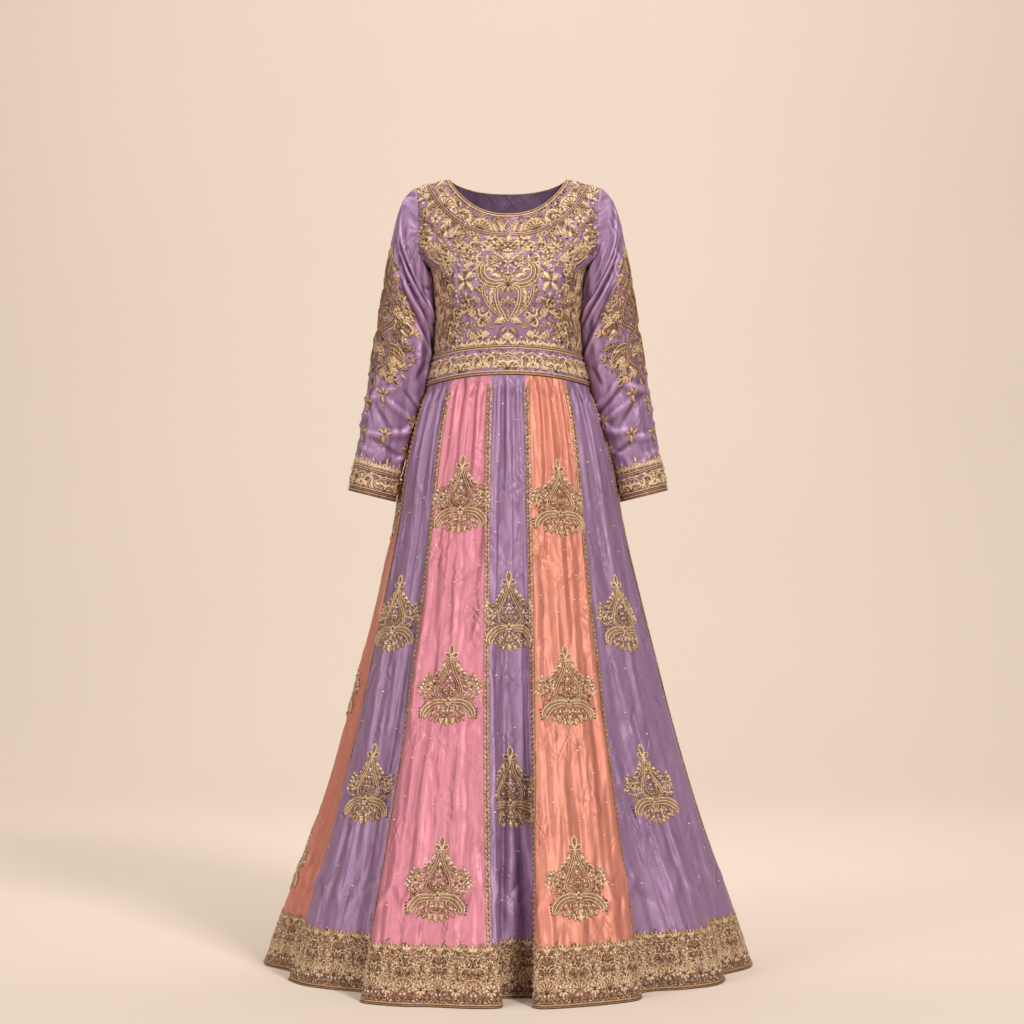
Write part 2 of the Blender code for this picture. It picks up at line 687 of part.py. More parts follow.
def neckline_surface(face):
    """A strip along the neckline, as wide all the way; up is 1 at the neckline's own edge."""

    def at(across, up):
        share = -face * across * NECK_SHARE
        angle, fall = bodice_top_edge(share, face)
        step = 1e-4
        ahead = bodice_top_edge(np.minimum(share + step, NECK_SHARE), face)
        behind = bodice_top_edge(np.maximum(share - step, -NECK_SHARE), face)
        along = unit(torso_point(*ahead, face) - torso_point(*behind, face))
        leaps = 8
        leap = (1 - up) * NECK_BINDING_WIDTH / leaps
        for _ in range(leaps):
            here = torso_point(angle, fall, face)
            by_angle = (torso_point(angle + step, fall, face) - here) / step
            by_fall = (torso_point(angle, fall + step, face) - here) / step
            normal = unit(np.cross(by_angle, by_fall))
            away = unit(np.cross(normal, along)) * leap[:, None]
            gram_a = (by_angle * by_angle).sum(1)
            gram_b = (by_angle * by_fall).sum(1)
            gram_c = (by_fall * by_fall).sum(1)
            want_a = (away * by_angle).sum(1)
            want_c = (away * by_fall).sum(1)
            size = gram_a * gram_c - gram_b**2
            angle = angle + (want_a * gram_c - want_c * gram_b) / size
            fall = np.maximum(fall + (want_c * gram_a - want_a * gram_b) / size, 0)
        return torso_point(angle, fall, face)

    return at


def neck_binding(name, face):
    """Two cords on a backing, sewn on the bodice along the neckline."""

    def seams(normals, across, up):
        return flattened(normals, abs(across) > 0.999, [0.0, 1.0, 0.0])

    def relief(across, up):
        return CORD_HEIGHT * np.sin(CORD_COUNT * math.pi * up) ** 2

    return cloth(
        name,
        neckline_surface(face),
        spaced(-1, 1, NECK_COLUMNS),
        spaced(0, 1, 2 * CORD_COUNT),
        GOLD,
        ("left", "right"),
        seams,
        LAY_GAP + NECK_BACKING,
        NECK_BACKING,
        relief,
    )


def cleared():
    for obj in list(bpy.data.objects):
        bpy.data.objects.remove(obj)


def gown():
    cleared()
    for face, word in ((-1, "front"), (1, "back")):
        bodice(f"bodice_{word}", face)
        waistband(f"waistband_{word}", face)
        neck_binding(f"neck_binding_{word}", face)
    for side, word in ((-1, "right"), (1, "left")):
        sleeve(f"sleeve_{word}", side)
        cuff(f"cuff_{word}", side)
    for number in range(-4, 6):
        kali(f"skirt_kali_{number % KALI_COUNT:02d}", number)
        seam_trim(f"seam_trim_{number % KALI_COUNT:02d}", number)


gown()
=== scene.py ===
"""Dresses the anarkali gown: thin silk shells with their creases, and all the needlework on them.

A form gives the outer face of the gown's solids. A chart measures places on that face along the cloth, and
a shell or a piece of needlework is laid on a chart. Each sub-assembly of the gown is a class. Lengths are
metres, +Z is up and the front faces -Y. Creases and needlework are drawn flat in millimetres, with x to
the right and y up as seen from outside the gown.
"""

from __future__ import annotations

import logging
import math
from dataclasses import dataclass, field, fields
from enum import Enum
from functools import lru_cache
from typing import Callable, NamedTuple, Sequence

import bmesh
import bpy
import numpy as np
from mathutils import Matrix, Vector

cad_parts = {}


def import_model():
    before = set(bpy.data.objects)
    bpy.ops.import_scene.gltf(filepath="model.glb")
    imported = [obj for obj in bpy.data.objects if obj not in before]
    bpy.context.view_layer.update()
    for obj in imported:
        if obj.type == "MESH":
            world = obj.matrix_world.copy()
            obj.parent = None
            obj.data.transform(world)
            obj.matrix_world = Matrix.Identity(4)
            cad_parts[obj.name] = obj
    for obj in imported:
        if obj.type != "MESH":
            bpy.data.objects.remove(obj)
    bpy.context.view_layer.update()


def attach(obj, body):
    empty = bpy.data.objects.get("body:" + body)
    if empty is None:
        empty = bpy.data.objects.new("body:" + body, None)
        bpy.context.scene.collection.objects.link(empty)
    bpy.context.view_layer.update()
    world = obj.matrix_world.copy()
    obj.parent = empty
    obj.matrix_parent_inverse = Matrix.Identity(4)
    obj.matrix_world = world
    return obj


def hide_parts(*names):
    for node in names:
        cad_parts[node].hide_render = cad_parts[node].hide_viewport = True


Array = np.ndarray
Path = Sequence[tuple[float, float]]

MM = 0.001
ROOT = "root"
log = logging.getLogger("gown")


# ---- Choices ----


class Half(Enum):
    """One of a pair of halves; the value is the sign of its axis."""

    @property
    def word(self) -> str:
        """The half's name in the solids' names."""
        return self.name.lower()


class Face(Half):
    """The two faces of the gown, along Y."""

    FRONT = -1
    BACK = 1


class Side(Half):
    """The two sleeves along X, as the wearer names them."""

    RIGHT = -1
    LEFT = 1


class Dye(Enum):
    """The three colours of silk, by the record's slots."""

    LILAC = "lilac_silk"
    ROSE = "rose_silk"
    CORAL = "coral_silk"


class Thread(Enum):
    """What a stitch is made of; the value is its place in a worked piece's materials."""

    GOLD = 0
    ZARI = 1
    PEARL = 2
    STONE = 3


class Held(Enum):
    """How a sheet is held."""

    HUNG = "hung"
    GATHERED = "gathered"
    STRETCHED = "stretched"


# ---- The gown's sizes, as its solids have them ----


class TorsoRow(NamedTuple):
    """Half width and depths of the body at a drop below the shoulder line."""

    drop: float
    half_width: float
    front: float
    back: float


class ArmholeRow(NamedTuple):
    """The armhole's edge at a share of its height, as a wrap angle and a drop."""

    share: float
    angle: float
    drop: float


class SleeveRow(NamedTuple):
    """A ring of the sleeve: its outer and inner points, its depth, and how far it bows from the body."""

    along: float
    outer_x: float
    outer_z: float
    inner_x: float
    inner_z: float
    half_depth: float
    centre_y: float
    bow: float


class SkirtRow(NamedTuple):
    """The skirt without its folds at a share of its length."""

    share: float
    half_width: float
    front: float
    back: float


class WaistRow(NamedTuple):
    """The bearing of a panel number at the waist."""

    panel: float
    bearing: float


class HemRow(NamedTuple):
    """A crest or a trough of the hem."""

    panel: float
    bearing: float
    radius: float


def table(kind: type, *rows: tuple[float, ...]) -> tuple:
    """A table's rows as tuples with named columns."""
    return tuple(kind(*row) for row in rows)


TORSO = table(
    TorsoRow,
    (0, 0.2055, 0.062, 0.058), (0.03, 0.2065, 0.067, 0.066), (0.07, 0.203, 0.079, 0.08),
    (0.105, 0.193, 0.09, 0.091), (0.13, 0.175, 0.099, 0.097), (0.15, 0.156, 0.105, 0.1),
    (0.163, 0.1435, 0.109, 0.101), (0.2, 0.1375, 0.114, 0.099), (0.225, 0.1355, 0.115, 0.096),
    (0.265, 0.1343, 0.11, 0.091), (0.318, 0.1375, 0.108, 0.094), (0.345, 0.142, 0.111, 0.099),
    (0.376, 0.1505, 0.117, 0.106),
)

ARMHOLE = table(
    ArmholeRow,
    (0, 90, 0.163), (0.14, 76, 0.149), (0.3, 64.5, 0.126), (0.48, 57, 0.098), (0.66, 54, 0.068),
    (0.84, 53.5, 0.035), (1, 55.5, 0),
)

SLEEVE = table(
    SleeveRow,
    (0.03, 0.1905, -0.033, 0.1425, -0.186, 0.051, 0.001, 0.013),
    (0.065, 0.204, -0.062, 0.14, -0.206, 0.0515, 0.002, 0.011),
    (0.11, 0.2145, -0.104, 0.1385, -0.23, 0.051, 0.003, 0.007),
    (0.16, 0.2235, -0.152, 0.138, -0.258, 0.0505, 0.004, 0.003),
    (0.22, 0.2325, -0.208, 0.1395, -0.294, 0.05, 0.004, 0),
    (0.29, 0.243, -0.278, 0.1475, -0.34, 0.0505, 0.003, 0),
    (0.35, 0.2525, -0.335, 0.159, -0.381, 0.05, 0.001, 0),
    (0.41, 0.262, -0.394, 0.1735, -0.427, 0.049, -0.001, 0),
    (0.49, 0.275, -0.471, 0.1895, -0.497, 0.0475, -0.004, 0),
    (0.551, 0.2855, -0.528, 0.201, -0.552, 0.0465, -0.006, 0),
    (0.607, 0.2945, -0.579, 0.2105, -0.6, 0.0465, -0.008, 0),
)

SKIRT = table(
    SkirtRow,
    (0, 0.1505, 0.117, 0.106), (0.014, 0.155, 0.12, 0.111), (0.045, 0.1665, 0.128, 0.124),
    (0.075, 0.1765, 0.136, 0.136), (0.105, 0.185, 0.143, 0.147), (0.15, 0.196, 0.153, 0.159),
    (0.23, 0.211, 0.169, 0.177), (0.36, 0.2435, 0.198, 0.208), (0.465, 0.2715, 0.227, 0.235),
    (0.57, 0.3, 0.259, 0.265), (0.67, 0.33, 0.294, 0.298), (0.773, 0.3646, 0.333, 0.334),
    (0.875, 0.4046, 0.377, 0.377), (1, 0.45, 0.43, 0.428),
)

WAIST = table(
    WaistRow,
    (-5, -180), (-4.5, -160), (-3.5, -124), (-2.5, -80), (-1.5, -51), (-0.5, -15.4), (0.5, 15.4), (1.5, 51),
    (2.5, 81), (3.5, 124), (4.5, 160), (5, 180),
)

HEM = table(
    HemRow,
    (-5, -182, 0.444), (-4.86, -177, 0.42), (-4.76, -172.5, 0.398), (-4.62, -167, 0.428),
    (-4.5, -162, 0.448), (-4.34, -155, 0.432), (-4.2, -149, 0.402), (-4.05, -143.5, 0.42),
    (-3.86, -135.5, 0.452), (-3.66, -126, 0.436), (-3.5, -118.5, 0.408), (-3.3, -110, 0.434),
    (-3.06, -99, 0.459), (-2.88, -90, 0.45), (-2.7, -80.5, 0.408), (-2.58, -74.5, 0.397), (-2.5, -71, 0.41),
    (-2.38, -66.5, 0.427), (-2.24, -60.5, 0.426), (-2, -51, 0.409), (-1.8, -43, 0.388),
    (-1.66, -37.5, 0.382), (-1.57, -35.2, 0.412), (-1.5, -34, 0.45), (-1.42, -31, 0.466),
    (-1.2, -23.5, 0.463), (-0.95, -16.5, 0.449), (-0.65, -7.5, 0.45), (-0.5, -3.4, 0.446),
    (-0.4, -1.7, 0.44), (-0.32, -1.5, 0.415), (-0.22, -3, 0.374), (-0.1, -1.2, 0.35), (0.1, 3.4, 0.346),
    (0.3, 7.6, 0.352), (0.41, 7.6, 0.392), (0.5, 5.8, 0.436), (0.6, 7.8, 0.454), (0.85, 14, 0.449),
    (1.15, 22.5, 0.441), (1.38, 30.5, 0.432), (1.5, 34.5, 0.408), (1.6, 37.5, 0.376), (1.74, 42.5, 0.378),
    (1.9, 50.5, 0.408), (2.08, 60.5, 0.43), (2.18, 67, 0.423), (2.25, 71, 0.402), (2.32, 75.5, 0.41),
    (2.44, 87.5, 0.45), (2.5, 94, 0.454), (2.72, 104, 0.436), (2.88, 111, 0.408), (3.1, 120, 0.434),
    (3.32, 128, 0.452), (3.5, 134, 0.432), (3.64, 138.5, 0.4), (3.86, 145, 0.428), (4.12, 152, 0.45),
    (4.36, 158.5, 0.44), (4.5, 162, 0.408), (4.62, 165.5, 0.396), (4.82, 171.5, 0.434), (5, 178, 0.444),
)


# ---- Curves and vectors ----


def through(rows: Sequence[NamedTuple], column: str, at: Array) -> Array:
    """A smooth curve through one column of a table, with no overshoot between its rows.

    Args:
        rows: the table, whose first column runs upwards.
        column: the name of the column to follow.
        at: places in the first column.

    Returns:
        The column's values at those places.
    """
    xs = np.array([row[0] for row in rows])
    ys = np.array([getattr(row, column) for row in rows])
    at = np.clip(np.asarray(at, float), xs[0], xs[-1])
    step = np.diff(xs)
    slope = np.diff(ys) / step
    tangent = np.zeros(len(xs))
    same_way = slope[:-1] * slope[1:] > 0
    weight_a = 2 * step[1:] + step[:-1]
    weight_b = step[1:] + 2 * step[:-1]
    safe = np.where(same_way, slope[:-1] * slope[1:], 1.0)
    mean = (weight_a + weight_b) * safe / (weight_a * slope[1:] + weight_b * slope[:-1] + (~same_way))
    tangent[1:-1] = np.where(same_way, mean, 0.0)
    tangent[0] = slope[0]
    tangent[-1] = slope[-1]
    i = np.clip(np.searchsorted(xs, at, side="right") - 1, 0, len(xs) - 2)
    f = (at - xs[i]) / step[i]
    rise = f * f * (3 - 2 * f)
    start = f * (1 - f) ** 2 * tangent[i]
    end = f * f * (f - 1) * tangent[i + 1]
    return ys[i] + (ys[i + 1] - ys[i]) * rise + (start + end) * step[i]


def run_of(line: Array) -> Array:
    """How far along a line each of its points lies."""
    return np.concatenate([[0], np.cumsum(np.linalg.norm(np.diff(line, axis=0), axis=1))])


def between(cells: Array, x: Array, y: Array) -> Array:
    """A grid's values at places counted in its own rows and columns."""
    i, j = np.clip(x.astype(int), 0, cells.shape[0] - 2), y.astype(int)
    fx, fy = x - i, y - j
    low = cells[i, j] * (1 - fx) + cells[i + 1, j] * fx
    high = cells[i, j + 1] * (1 - fx) + cells[i + 1, j + 1] * fx
    return low * (1 - fy) + high * fy


def smoothstep(low: float, high: float, value: Array) -> Array:
    """A smooth rise from 0 at low to 1 at high."""
    share = np.clip((value - low) / (high - low), 0, 1)
    return share * share * (3 - 2 * share)


def unit(vectors: Array) -> Array:
    """The vectors at length 1."""
    return vectors / np.maximum(np.linalg.norm(vectors, axis=-1, keepdims=True), 1e-12)


def flowing(path: Path, step: float) -> Array:
    """A smooth line through a few points.

    Args:
        path: the points, each of which the line passes through.
        step: the longest distance between the line's own points.

    Returns:
        The line's points, one in each row.
    """
    points = np.asarray(path, float)
    if len(points) == 2:
        parts = max(1, math.ceil(np.linalg.norm(points[1] - points[0]) / step))
        return points[0] + (points[1] - points[0]) * np.linspace(0, 1, parts + 1)[:, None]
    ends = np.vstack([2 * points[0] - points[1], points, 2 * points[-1] - points[-2]])
    line = [points[:1]]
    for p0, p1, p2, p3 in zip(ends, ends[1:], ends[2:], ends[3:]):
        parts = max(1, math.ceil(np.linalg.norm(p2 - p1) / step))
        t = np.linspace(0, 1, parts + 1)[1:, None]
        bent = 2 * p1 + (p2 - p0) * t + (2 * p0 - 5 * p1 + 4 * p2 - p3) * t**2
        line.append(0.5 * (bent + (3 * p1 - p0 - 3 * p2 + p3) * t**3))
    return np.vstack(line)


def inside(outline: Array, points: Array) -> Array:
    """Which of the points lie inside a closed outline."""
    x, y = points[:, 0], points[:, 1]
    within = np.zeros(len(points), bool)
    for (x0, y0), (x1, y1) in zip(outline, np.roll(outline, -1, axis=0)):
        crosses = (y0 > y) != (y1 > y)
        rise = y1 - y0 if y1 != y0 else 1e-9
        within ^= crosses & (x < (x1 - x0) * (y - y0) / rise + x0)
    return within


# ---- The forms of the gown ----


@dataclass(frozen=True)
class TorsoForm:
    """The outer face of the bodice and the waistband."""

    crown: float = 0.007
    shoulder: float = 0.169
    shoulder_fall: float = 0.023
    fall_power: float = 2.2
    roll: float = 0.060
    bust_rise: float = 0.007
    bust_out: float = 0.062
    bust_up: float = -0.222
    bust_spread: float = 0.036

    def fall_of(self, drop: Array) -> Array:
        """The way down over the rounded shoulder that gives a drop."""
        turned = np.arccos(1 - np.clip(np.asarray(drop, float) / self.roll, 0, 1))
        return self.roll * turned + np.maximum(drop - self.roll, 0)

    def drop_of(self, fall: Array) -> Array:
        """The drop that a way down over the shoulder gives."""
        turned = np.clip(fall / self.roll, 0, math.pi / 2)
        return self.roll * (1 - np.cos(turned)) + np.maximum(fall - self.roll * math.pi / 2, 0)

    def slope(self, x: Array) -> Array:
        """How far the shoulder line has fallen at a distance from the centre plane."""
        return self.shoulder_fall * (abs(x) / self.shoulder) ** self.fall_power

    def point(self, angle: Array, fall: Array, face: Face) -> Array:
        """A point of the torso.

        Args:
            angle: the wrap angle from the centre plane, positive towards +X.
            fall: the way down over the torso from the shoulder line.
            face: the front or the back.

        Returns:
            The points, one in each row.
        """
        drop = self.drop_of(fall)
        width = through(TORSO, "half_width", drop)
        depth = through(TORSO, face.word, drop)
        rolled = np.sin(np.clip(fall / self.roll, 0, math.pi / 2))
        x = width * np.sin(angle)
        y = face.value * depth * rolled * np.cos(angle)
        z = self.crown - self.slope(x) - drop
        if face is Face.FRONT:
            away = (abs(x) - self.bust_out) ** 2 + (z - self.bust_up) ** 2
            y = y - self.bust_rise * np.exp(-away / (2 * self.bust_spread**2)) * np.cos(angle)
        return np.stack([x, y, z], axis=-1)


@dataclass(frozen=True)
class BodiceCut:
    """The edges of a bodice panel on the torso."""

    torso: TorsoForm = TorsoForm()
    neck_half_width: float = 0.108
    front_neck_drop: float = 0.080
    back_neck_drop: float = 0.029
    neck_outer_power: float = 2.3
    neck_inner_power: float = 0.85
    neck_share: float = 0.55
    underarm_row: float = 0.50
    underarm_drop: float = 0.163
    band_top_drop: float = 0.321
    waist_drop: float = 0.376

    def top_edge(self, across: Array, face: Face) -> tuple[Array, Array]:
        """The wrap angle and fall along the neckline and the shoulder seams beside it."""
        neck_drop = self.front_neck_drop if face is Face.FRONT else self.back_neck_drop
        out = np.clip(abs(across) / self.neck_share, 0, 1)
        drop = neck_drop * np.maximum(1 - out**self.neck_outer_power, 0) ** self.neck_inner_power
        along_shoulder = np.clip((abs(across) - self.neck_share) / (1 - self.neck_share), 0, 1)
        x = self.neck_half_width * out + (self.torso.shoulder - self.neck_half_width) * along_shoulder
        angle = np.arcsin(x / through(TORSO, "half_width", drop)) * np.sign(across)
        return angle, self.torso.fall_of(drop)

    def shoulder_angle(self) -> float:
        """The wrap angle at which the shoulder seam meets the armhole."""
        return math.asin(self.torso.shoulder / TORSO[0].half_width)

    def armhole_angle(self, share: Array) -> Array:
        """The armhole's wrap angle, carried to the shoulder seam's own end."""
        carried = self.shoulder_angle() - math.radians(ARMHOLE[-1].angle)
        return np.radians(through(ARMHOLE, "angle", share)) + carried * share**3

    def armhole_fall(self, share: Array) -> Array:
        """The armhole's fall at a share of its height."""
        return self.torso.fall_of(through(ARMHOLE, "drop", share))

    def side_edge(self, up: Array) -> tuple[Array, Array]:
        """The wrap angle and fall up the side seam and the armhole."""
        share = np.clip((up - self.underarm_row) / (1 - self.underarm_row), 0, 1)
        reach = self.underarm_drop - self.band_top_drop
        seam_drop = self.band_top_drop + reach * np.clip(up / self.underarm_row, 0, 1)
        fall = np.where(up < self.underarm_row, self.torso.fall_of(seam_drop), self.armhole_fall(share))
        return self.armhole_angle(share), fall

    def place(self, across: Array, up: Array, face: Face) -> tuple[Array, Array]:
        """A place of the panel, blended between its four edges.

        Args:
            across: from -1 to 1, to the right as seen from outside.
            up: from 0 at the waistband to 1 at the top edge.
            face: the front or the back.

        Returns:
            The wrap angle and the fall.
        """
        across = -face.value * across
        top_angle, top_fall = self.top_edge(across, face)
        side_angle, side_fall = self.side_edge(up)
        angle = up * top_angle + across * (side_angle - self.shoulder_angle() * up)
        return angle, side_fall + up * top_fall

    def armhole_point(self, side: Side, face: Face, share: Array) -> Array:
        """A point on the armhole's edge, from the underarm at 0 to the shoulder at 1."""
        point = self.torso.point(self.armhole_angle(share), self.armhole_fall(share), face)
        return point * np.array([side.value, 1, 1])

    def armhole_out(self, side: Side) -> Array:
        """The direction in which the sleeve leaves the armhole."""
        ends = self.armhole_point(Side.LEFT, Face.FRONT, np.array([0.0, 1.0]))
        along = ends[1] - ends[0]
        return unit(np.array([along[2], 0.0, -along[0]])) * np.array([side.value, 1, 1])


@dataclass(frozen=True)
class SleeveForm:
    """The outer face of a sleeve and its cuff."""

    cut: BodiceCut = BodiceCut()
    length: float = 0.607
    cuff: float = 0.056
    armhole_gap: float = 0.0006
    cap_rise: float = 0.006
    cap_length: float = 0.010

    def ring(self, row: SleeveRow, side: Side, angle: Array) -> Array:
        """A ring of the sleeve; angle 0 is its outer side and 90 degrees its front."""
        middle = np.array([(row.outer_x + row.inner_x) / 2, row.centre_y, (row.outer_z + row.inner_z) / 2])
        reach = np.array([(row.outer_x - row.inner_x) / 2, 0, (row.outer_z - row.inner_z) / 2])
        forward = np.array([0, -row.half_depth, 0])
        ring = middle + np.cos(angle)[..., None] * reach + np.sin(angle)[..., None] * forward
        ring[..., 0] += row.bow * np.sin(angle) ** 2
        return ring * np.array([side.value, 1, 1])

    def head(self, side: Side, angle: Array, out: float) -> Array:
        """The armhole's own edge, moved out of the armhole."""
        turn = np.degrees(angle) % 360
        front = self.cut.armhole_point(side, Face.FRONT, np.clip(1 - turn / 180, 0, 1))
        back = self.cut.armhole_point(side, Face.BACK, np.clip(turn / 180 - 1, 0, 1))
        edge = np.where((turn <= 180)[..., None], front, back)
        return edge + out * self.cut.armhole_out(side)

    def point(self, side: Side, angle: Array, along: Array) -> Array:
        """A point of the sleeve, on a smooth curve through its rings.

        Args:
            side: the sleeve.
            angle: the angle round it from its outer side, towards its front.
            along: the distance down it from the armhole.

        Returns:
            The points, one in each row.
        """
        lengths = np.array([0.0, self.cap_length] + [row.along for row in SLEEVE])
        outs = (self.armhole_gap, self.armhole_gap + self.cap_rise)
        rings = [self.head(side, angle, out) for out in outs]
        rings += [self.ring(row, side, angle) for row in SLEEVE]
        rows = np.stack(rings)
        last = len(lengths) - 1
        i = np.clip(np.searchsorted(lengths, along, side="right") - 1, 0, last - 1)
        before = np.maximum(i - 1, 0)
        after = np.minimum(i + 2, last)
        n = np.arange(len(angle))
        gap = lengths[i + 1] - lengths[i]
        f = ((along - lengths[i]) / gap)[:, None]
        p0, p1 = rows[i, n], rows[i + 1, n]
        m0 = (p1 - rows[before, n]) * (gap / (lengths[i + 1] - lengths[before]))[:, None]
        m1 = (rows[after, n] - p0) * (gap / (lengths[after] - lengths[i]))[:, None]
        held = p0 * (1 + 2 * f) * (1 - f) ** 2 + p1 * f * f * (3 - 2 * f)
        return held + m0 * f * (1 - f) ** 2 + m1 * f * f * (f - 1)


@dataclass(frozen=True)
class SkirtForm:
    """The outer face of the skirt, with the large folds of its hem."""

    torso: TorsoForm = TorsoForm()
    panels: int = 10
    length: float = 1.460
    waist_drop: float = 0.376
    seam_gap: float = 0.0003
    gathers: int = 4
    gather_depth: float = 0.0032
    gather_reach: float = 0.20
    fold_growth: float = 0.90

    def base(self, bearing: Array, share: Array) -> Array:
        """The radius without folds."""
        front = np.cos(bearing) > 0
        width = through(SKIRT, "half_width", share)
        depth = np.where(front, through(SKIRT, "front", share), through(SKIRT, "back", share))
        return width * depth / np.hypot(depth * np.sin(bearing), width * np.cos(bearing))

    def point(self, panel: Array, down: Array) -> Array:
        """A point of the skirt.

        Args:
            panel: the panel number, 0 at the centre front and rising towards +X.
            down: the share of the skirt's length, 1 at the hem.

        Returns:
            The points, one in each row.
        """
        growth = np.maximum(down, 0) ** self.fold_growth
        panel = (np.asarray(panel, float) + self.panels / 2) % self.panels - self.panels / 2
        waist_bearing = through(WAIST, "bearing", panel)
        hem_bearing = through(HEM, "bearing", panel)
        bearing = np.radians(waist_bearing + (hem_bearing - waist_bearing) * growth)
        fold = through(HEM, "radius", panel) / self.base(bearing, np.ones_like(down)) - 1
        wave = np.cos(2 * math.pi * self.gathers * (panel + 0.5))
        fading = np.exp(-((down / self.gather_reach) ** 2)) * smoothstep(0, 0.03, down)
        radius = self.base(bearing, down) * (1 + fold * growth) + self.gather_depth * wave * fading
        waist_x = self.base(bearing, np.zeros_like(down)) * np.sin(bearing)
        waist_z = self.torso.crown - self.torso.slope(waist_x) - self.waist_drop - self.seam_gap
        z = waist_z + (-self.length - waist_z) * down
        return np.stack([radius * np.sin(bearing), -radius * np.cos(bearing), z], axis=-1)


# ---- Creases ----


class Crease(NamedTuple):
    """A soft ridge, or a trough where its depth is negative. Millimetres, and degrees from upright."""

    x: float
    y: float
    length: float
    turn: float
    depth: float
    width: float
    bow: float = 0.0

    def mirrored(self) -> "Crease":
        """The same crease on the other side of x = 0."""
        return self._replace(x=-self.x, turn=-self.turn, bow=-self.bow)


@dataclass
class Relief:
    """How far the creases move the cloth off its form, on a raster of places."""

    low: tuple[float, float]
    high: tuple[float, float]
    step: float = 0.0022
    sharpness: float = 1.5
    heights: Array = field(init=False)

    def __post_init__(self) -> None:
        """Starts flat."""
        size = [math.ceil((b - a) / self.step) + 2 for a, b in zip(self.low, self.high)]
        self.heights = np.zeros(size)

    def places(self) -> tuple[Array, Array]:
        """The raster's own places."""
        axes = [a + self.step * np.arange(n) for a, n in zip(self.low, self.heights.shape)]
        return tuple(np.meshgrid(*axes, indexing="ij"))

    def press(self, creases: Sequence[Crease]) -> None:
        """Adds creases, each in the part of the raster that it reaches."""
        for crease in creases:
            half = crease.length / 2 * MM
            reach = half + (3 * crease.width + abs(crease.bow)) * MM
            middle = np.array([crease.x, crease.y]) * MM
            first = np.maximum(((middle - reach - self.low) / self.step).astype(int), 0)
            last = np.maximum(((middle + reach - self.low) / self.step).astype(int) + 2, 0)
            window = self.heights[first[0] : last[0], first[1] : last[1]]
            if not window.size:
                continue
            x = self.low[0] + self.step * (first[0] + np.arange(window.shape[0])) - middle[0]
            y = self.low[1] + self.step * (first[1] + np.arange(window.shape[1])) - middle[1]
            turn = math.radians(crease.turn)
            along = x[:, None] * math.sin(turn) + y[None] * math.cos(turn)
            across = x[:, None] * math.cos(turn) - y[None] * math.sin(turn)
            across = across - crease.bow * MM * (1 - (along / half) ** 2)
            taper = np.maximum(1 - (along / half) ** 2, 0) ** 1.5
            profile = np.exp(-(abs(across / (crease.width * MM)) ** self.sharpness))
            window += crease.depth * MM * taper * profile

    def crumple(self, seed: int, count: int, turn: float, spread: float, depth: float = 1.0) -> None:
        """Scatters small creases over the raster.

        Args:
            seed: starts the scatter.
            count: how many creases.
            turn: their usual lean, in degrees from upright.
            spread: how far the lean strays.
            depth: their usual depth, in millimetres.
        """
        draw = np.random.default_rng(seed)
        small = []
        for _ in range(count):
            place = [draw.uniform(a, b) / MM for a, b in zip(self.low, self.high)]
            length = draw.uniform(30, 130)
            sign = draw.choice([-1.0, 1.0])
            rise = sign * depth * draw.uniform(0.4, 1.6)
            lean = draw.normal(turn, spread)
            small.append(Crease(*place, length, lean, rise, draw.uniform(3.5, 9.0), draw.normal(0, 7)))
        self.press(small)

    def fade(self, distance: Array, reach: float) -> None:
        """Lets the creases die out over a reach from an edge."""
        self.heights *= smoothstep(0, reach, distance)

    def sample(self, u: Array, v: Array) -> Array:
        """The heights at places on the cloth."""
        x = np.clip((u - self.low[0]) / self.step, 0, self.heights.shape[0] - 1.001)
        y = np.clip((v - self.low[1]) / self.step, 0, self.heights.shape[1] - 1.001)
        return between(self.heights, x, y)


# ---- Charts ----


class Chart:
    """Places on a form, in metres along the cloth: u to the right as seen from outside, and v up."""

    reach: float = 4e-4
    around: float = 0.010  # how far off the cloth around a place is looked at
    # The trough depth and the strength below scale the painted shade in fold hollows and the painted
    # highlight on ridges.
    trough: float = 0.0026
    painted_shade_strength: float = 1.0

    def base(self, u: Array, v: Array) -> Array:
        """The form's own points."""
        raise NotImplementedError

    def rise(self, u: Array, v: Array) -> Array:
        """How far the creases lift the cloth there."""
        return np.zeros(len(u))

    def painted_fold_shade(self, u: Array, v: Array) -> Array:
        """How much painted fold shade each place gets, from how far it lies below the cloth around it: above
        0 in a trough, where the silk is painted darker, and below 0 on a ridge, where it is painted lighter.
        """
        sides = ((self.around, 0), (-self.around, 0), (0, self.around), (0, -self.around))
        near = sum(self.rise(u + du, v + dv) for du, dv in sides) / len(sides)
        return self.painted_shade_strength * np.clip((near - self.rise(u, v)) / self.trough, -1, 1)

    def laid(self, u: Array, v: Array, height: Array) -> Array:
        """Points over the creased cloth.

        Args:
            u: places to the right.
            v: places up.
            height: how far each lies off the cloth.

        Returns:
            The points, one in each row.
        """
        wide = self.base(u + self.reach, v) - self.base(u - self.reach, v)
        high = self.base(u, v + self.reach) - self.base(u, v - self.reach)
        normal = unit(np.cross(wide, high))
        return self.base(u, v) + normal * (self.rise(u, v) + height)[:, None]


WRAP = 0.130  # metres of cloth for each radian of wrap round the torso


@dataclass
class TorsoChart(Chart):
    """The torso, measured from the centre plane and down from the shoulder line."""

    face: Face
    relief: Relief
    torso: TorsoForm = TorsoForm()

    def base(self, u: Array, v: Array) -> Array:
        """The form's own points."""
        return self.torso.point(-self.face.value * u / WRAP, -v, self.face)

    def rise(self, u: Array, v: Array) -> Array:
        """How far the creases lift the cloth there."""
        return self.relief.sample(u, v)


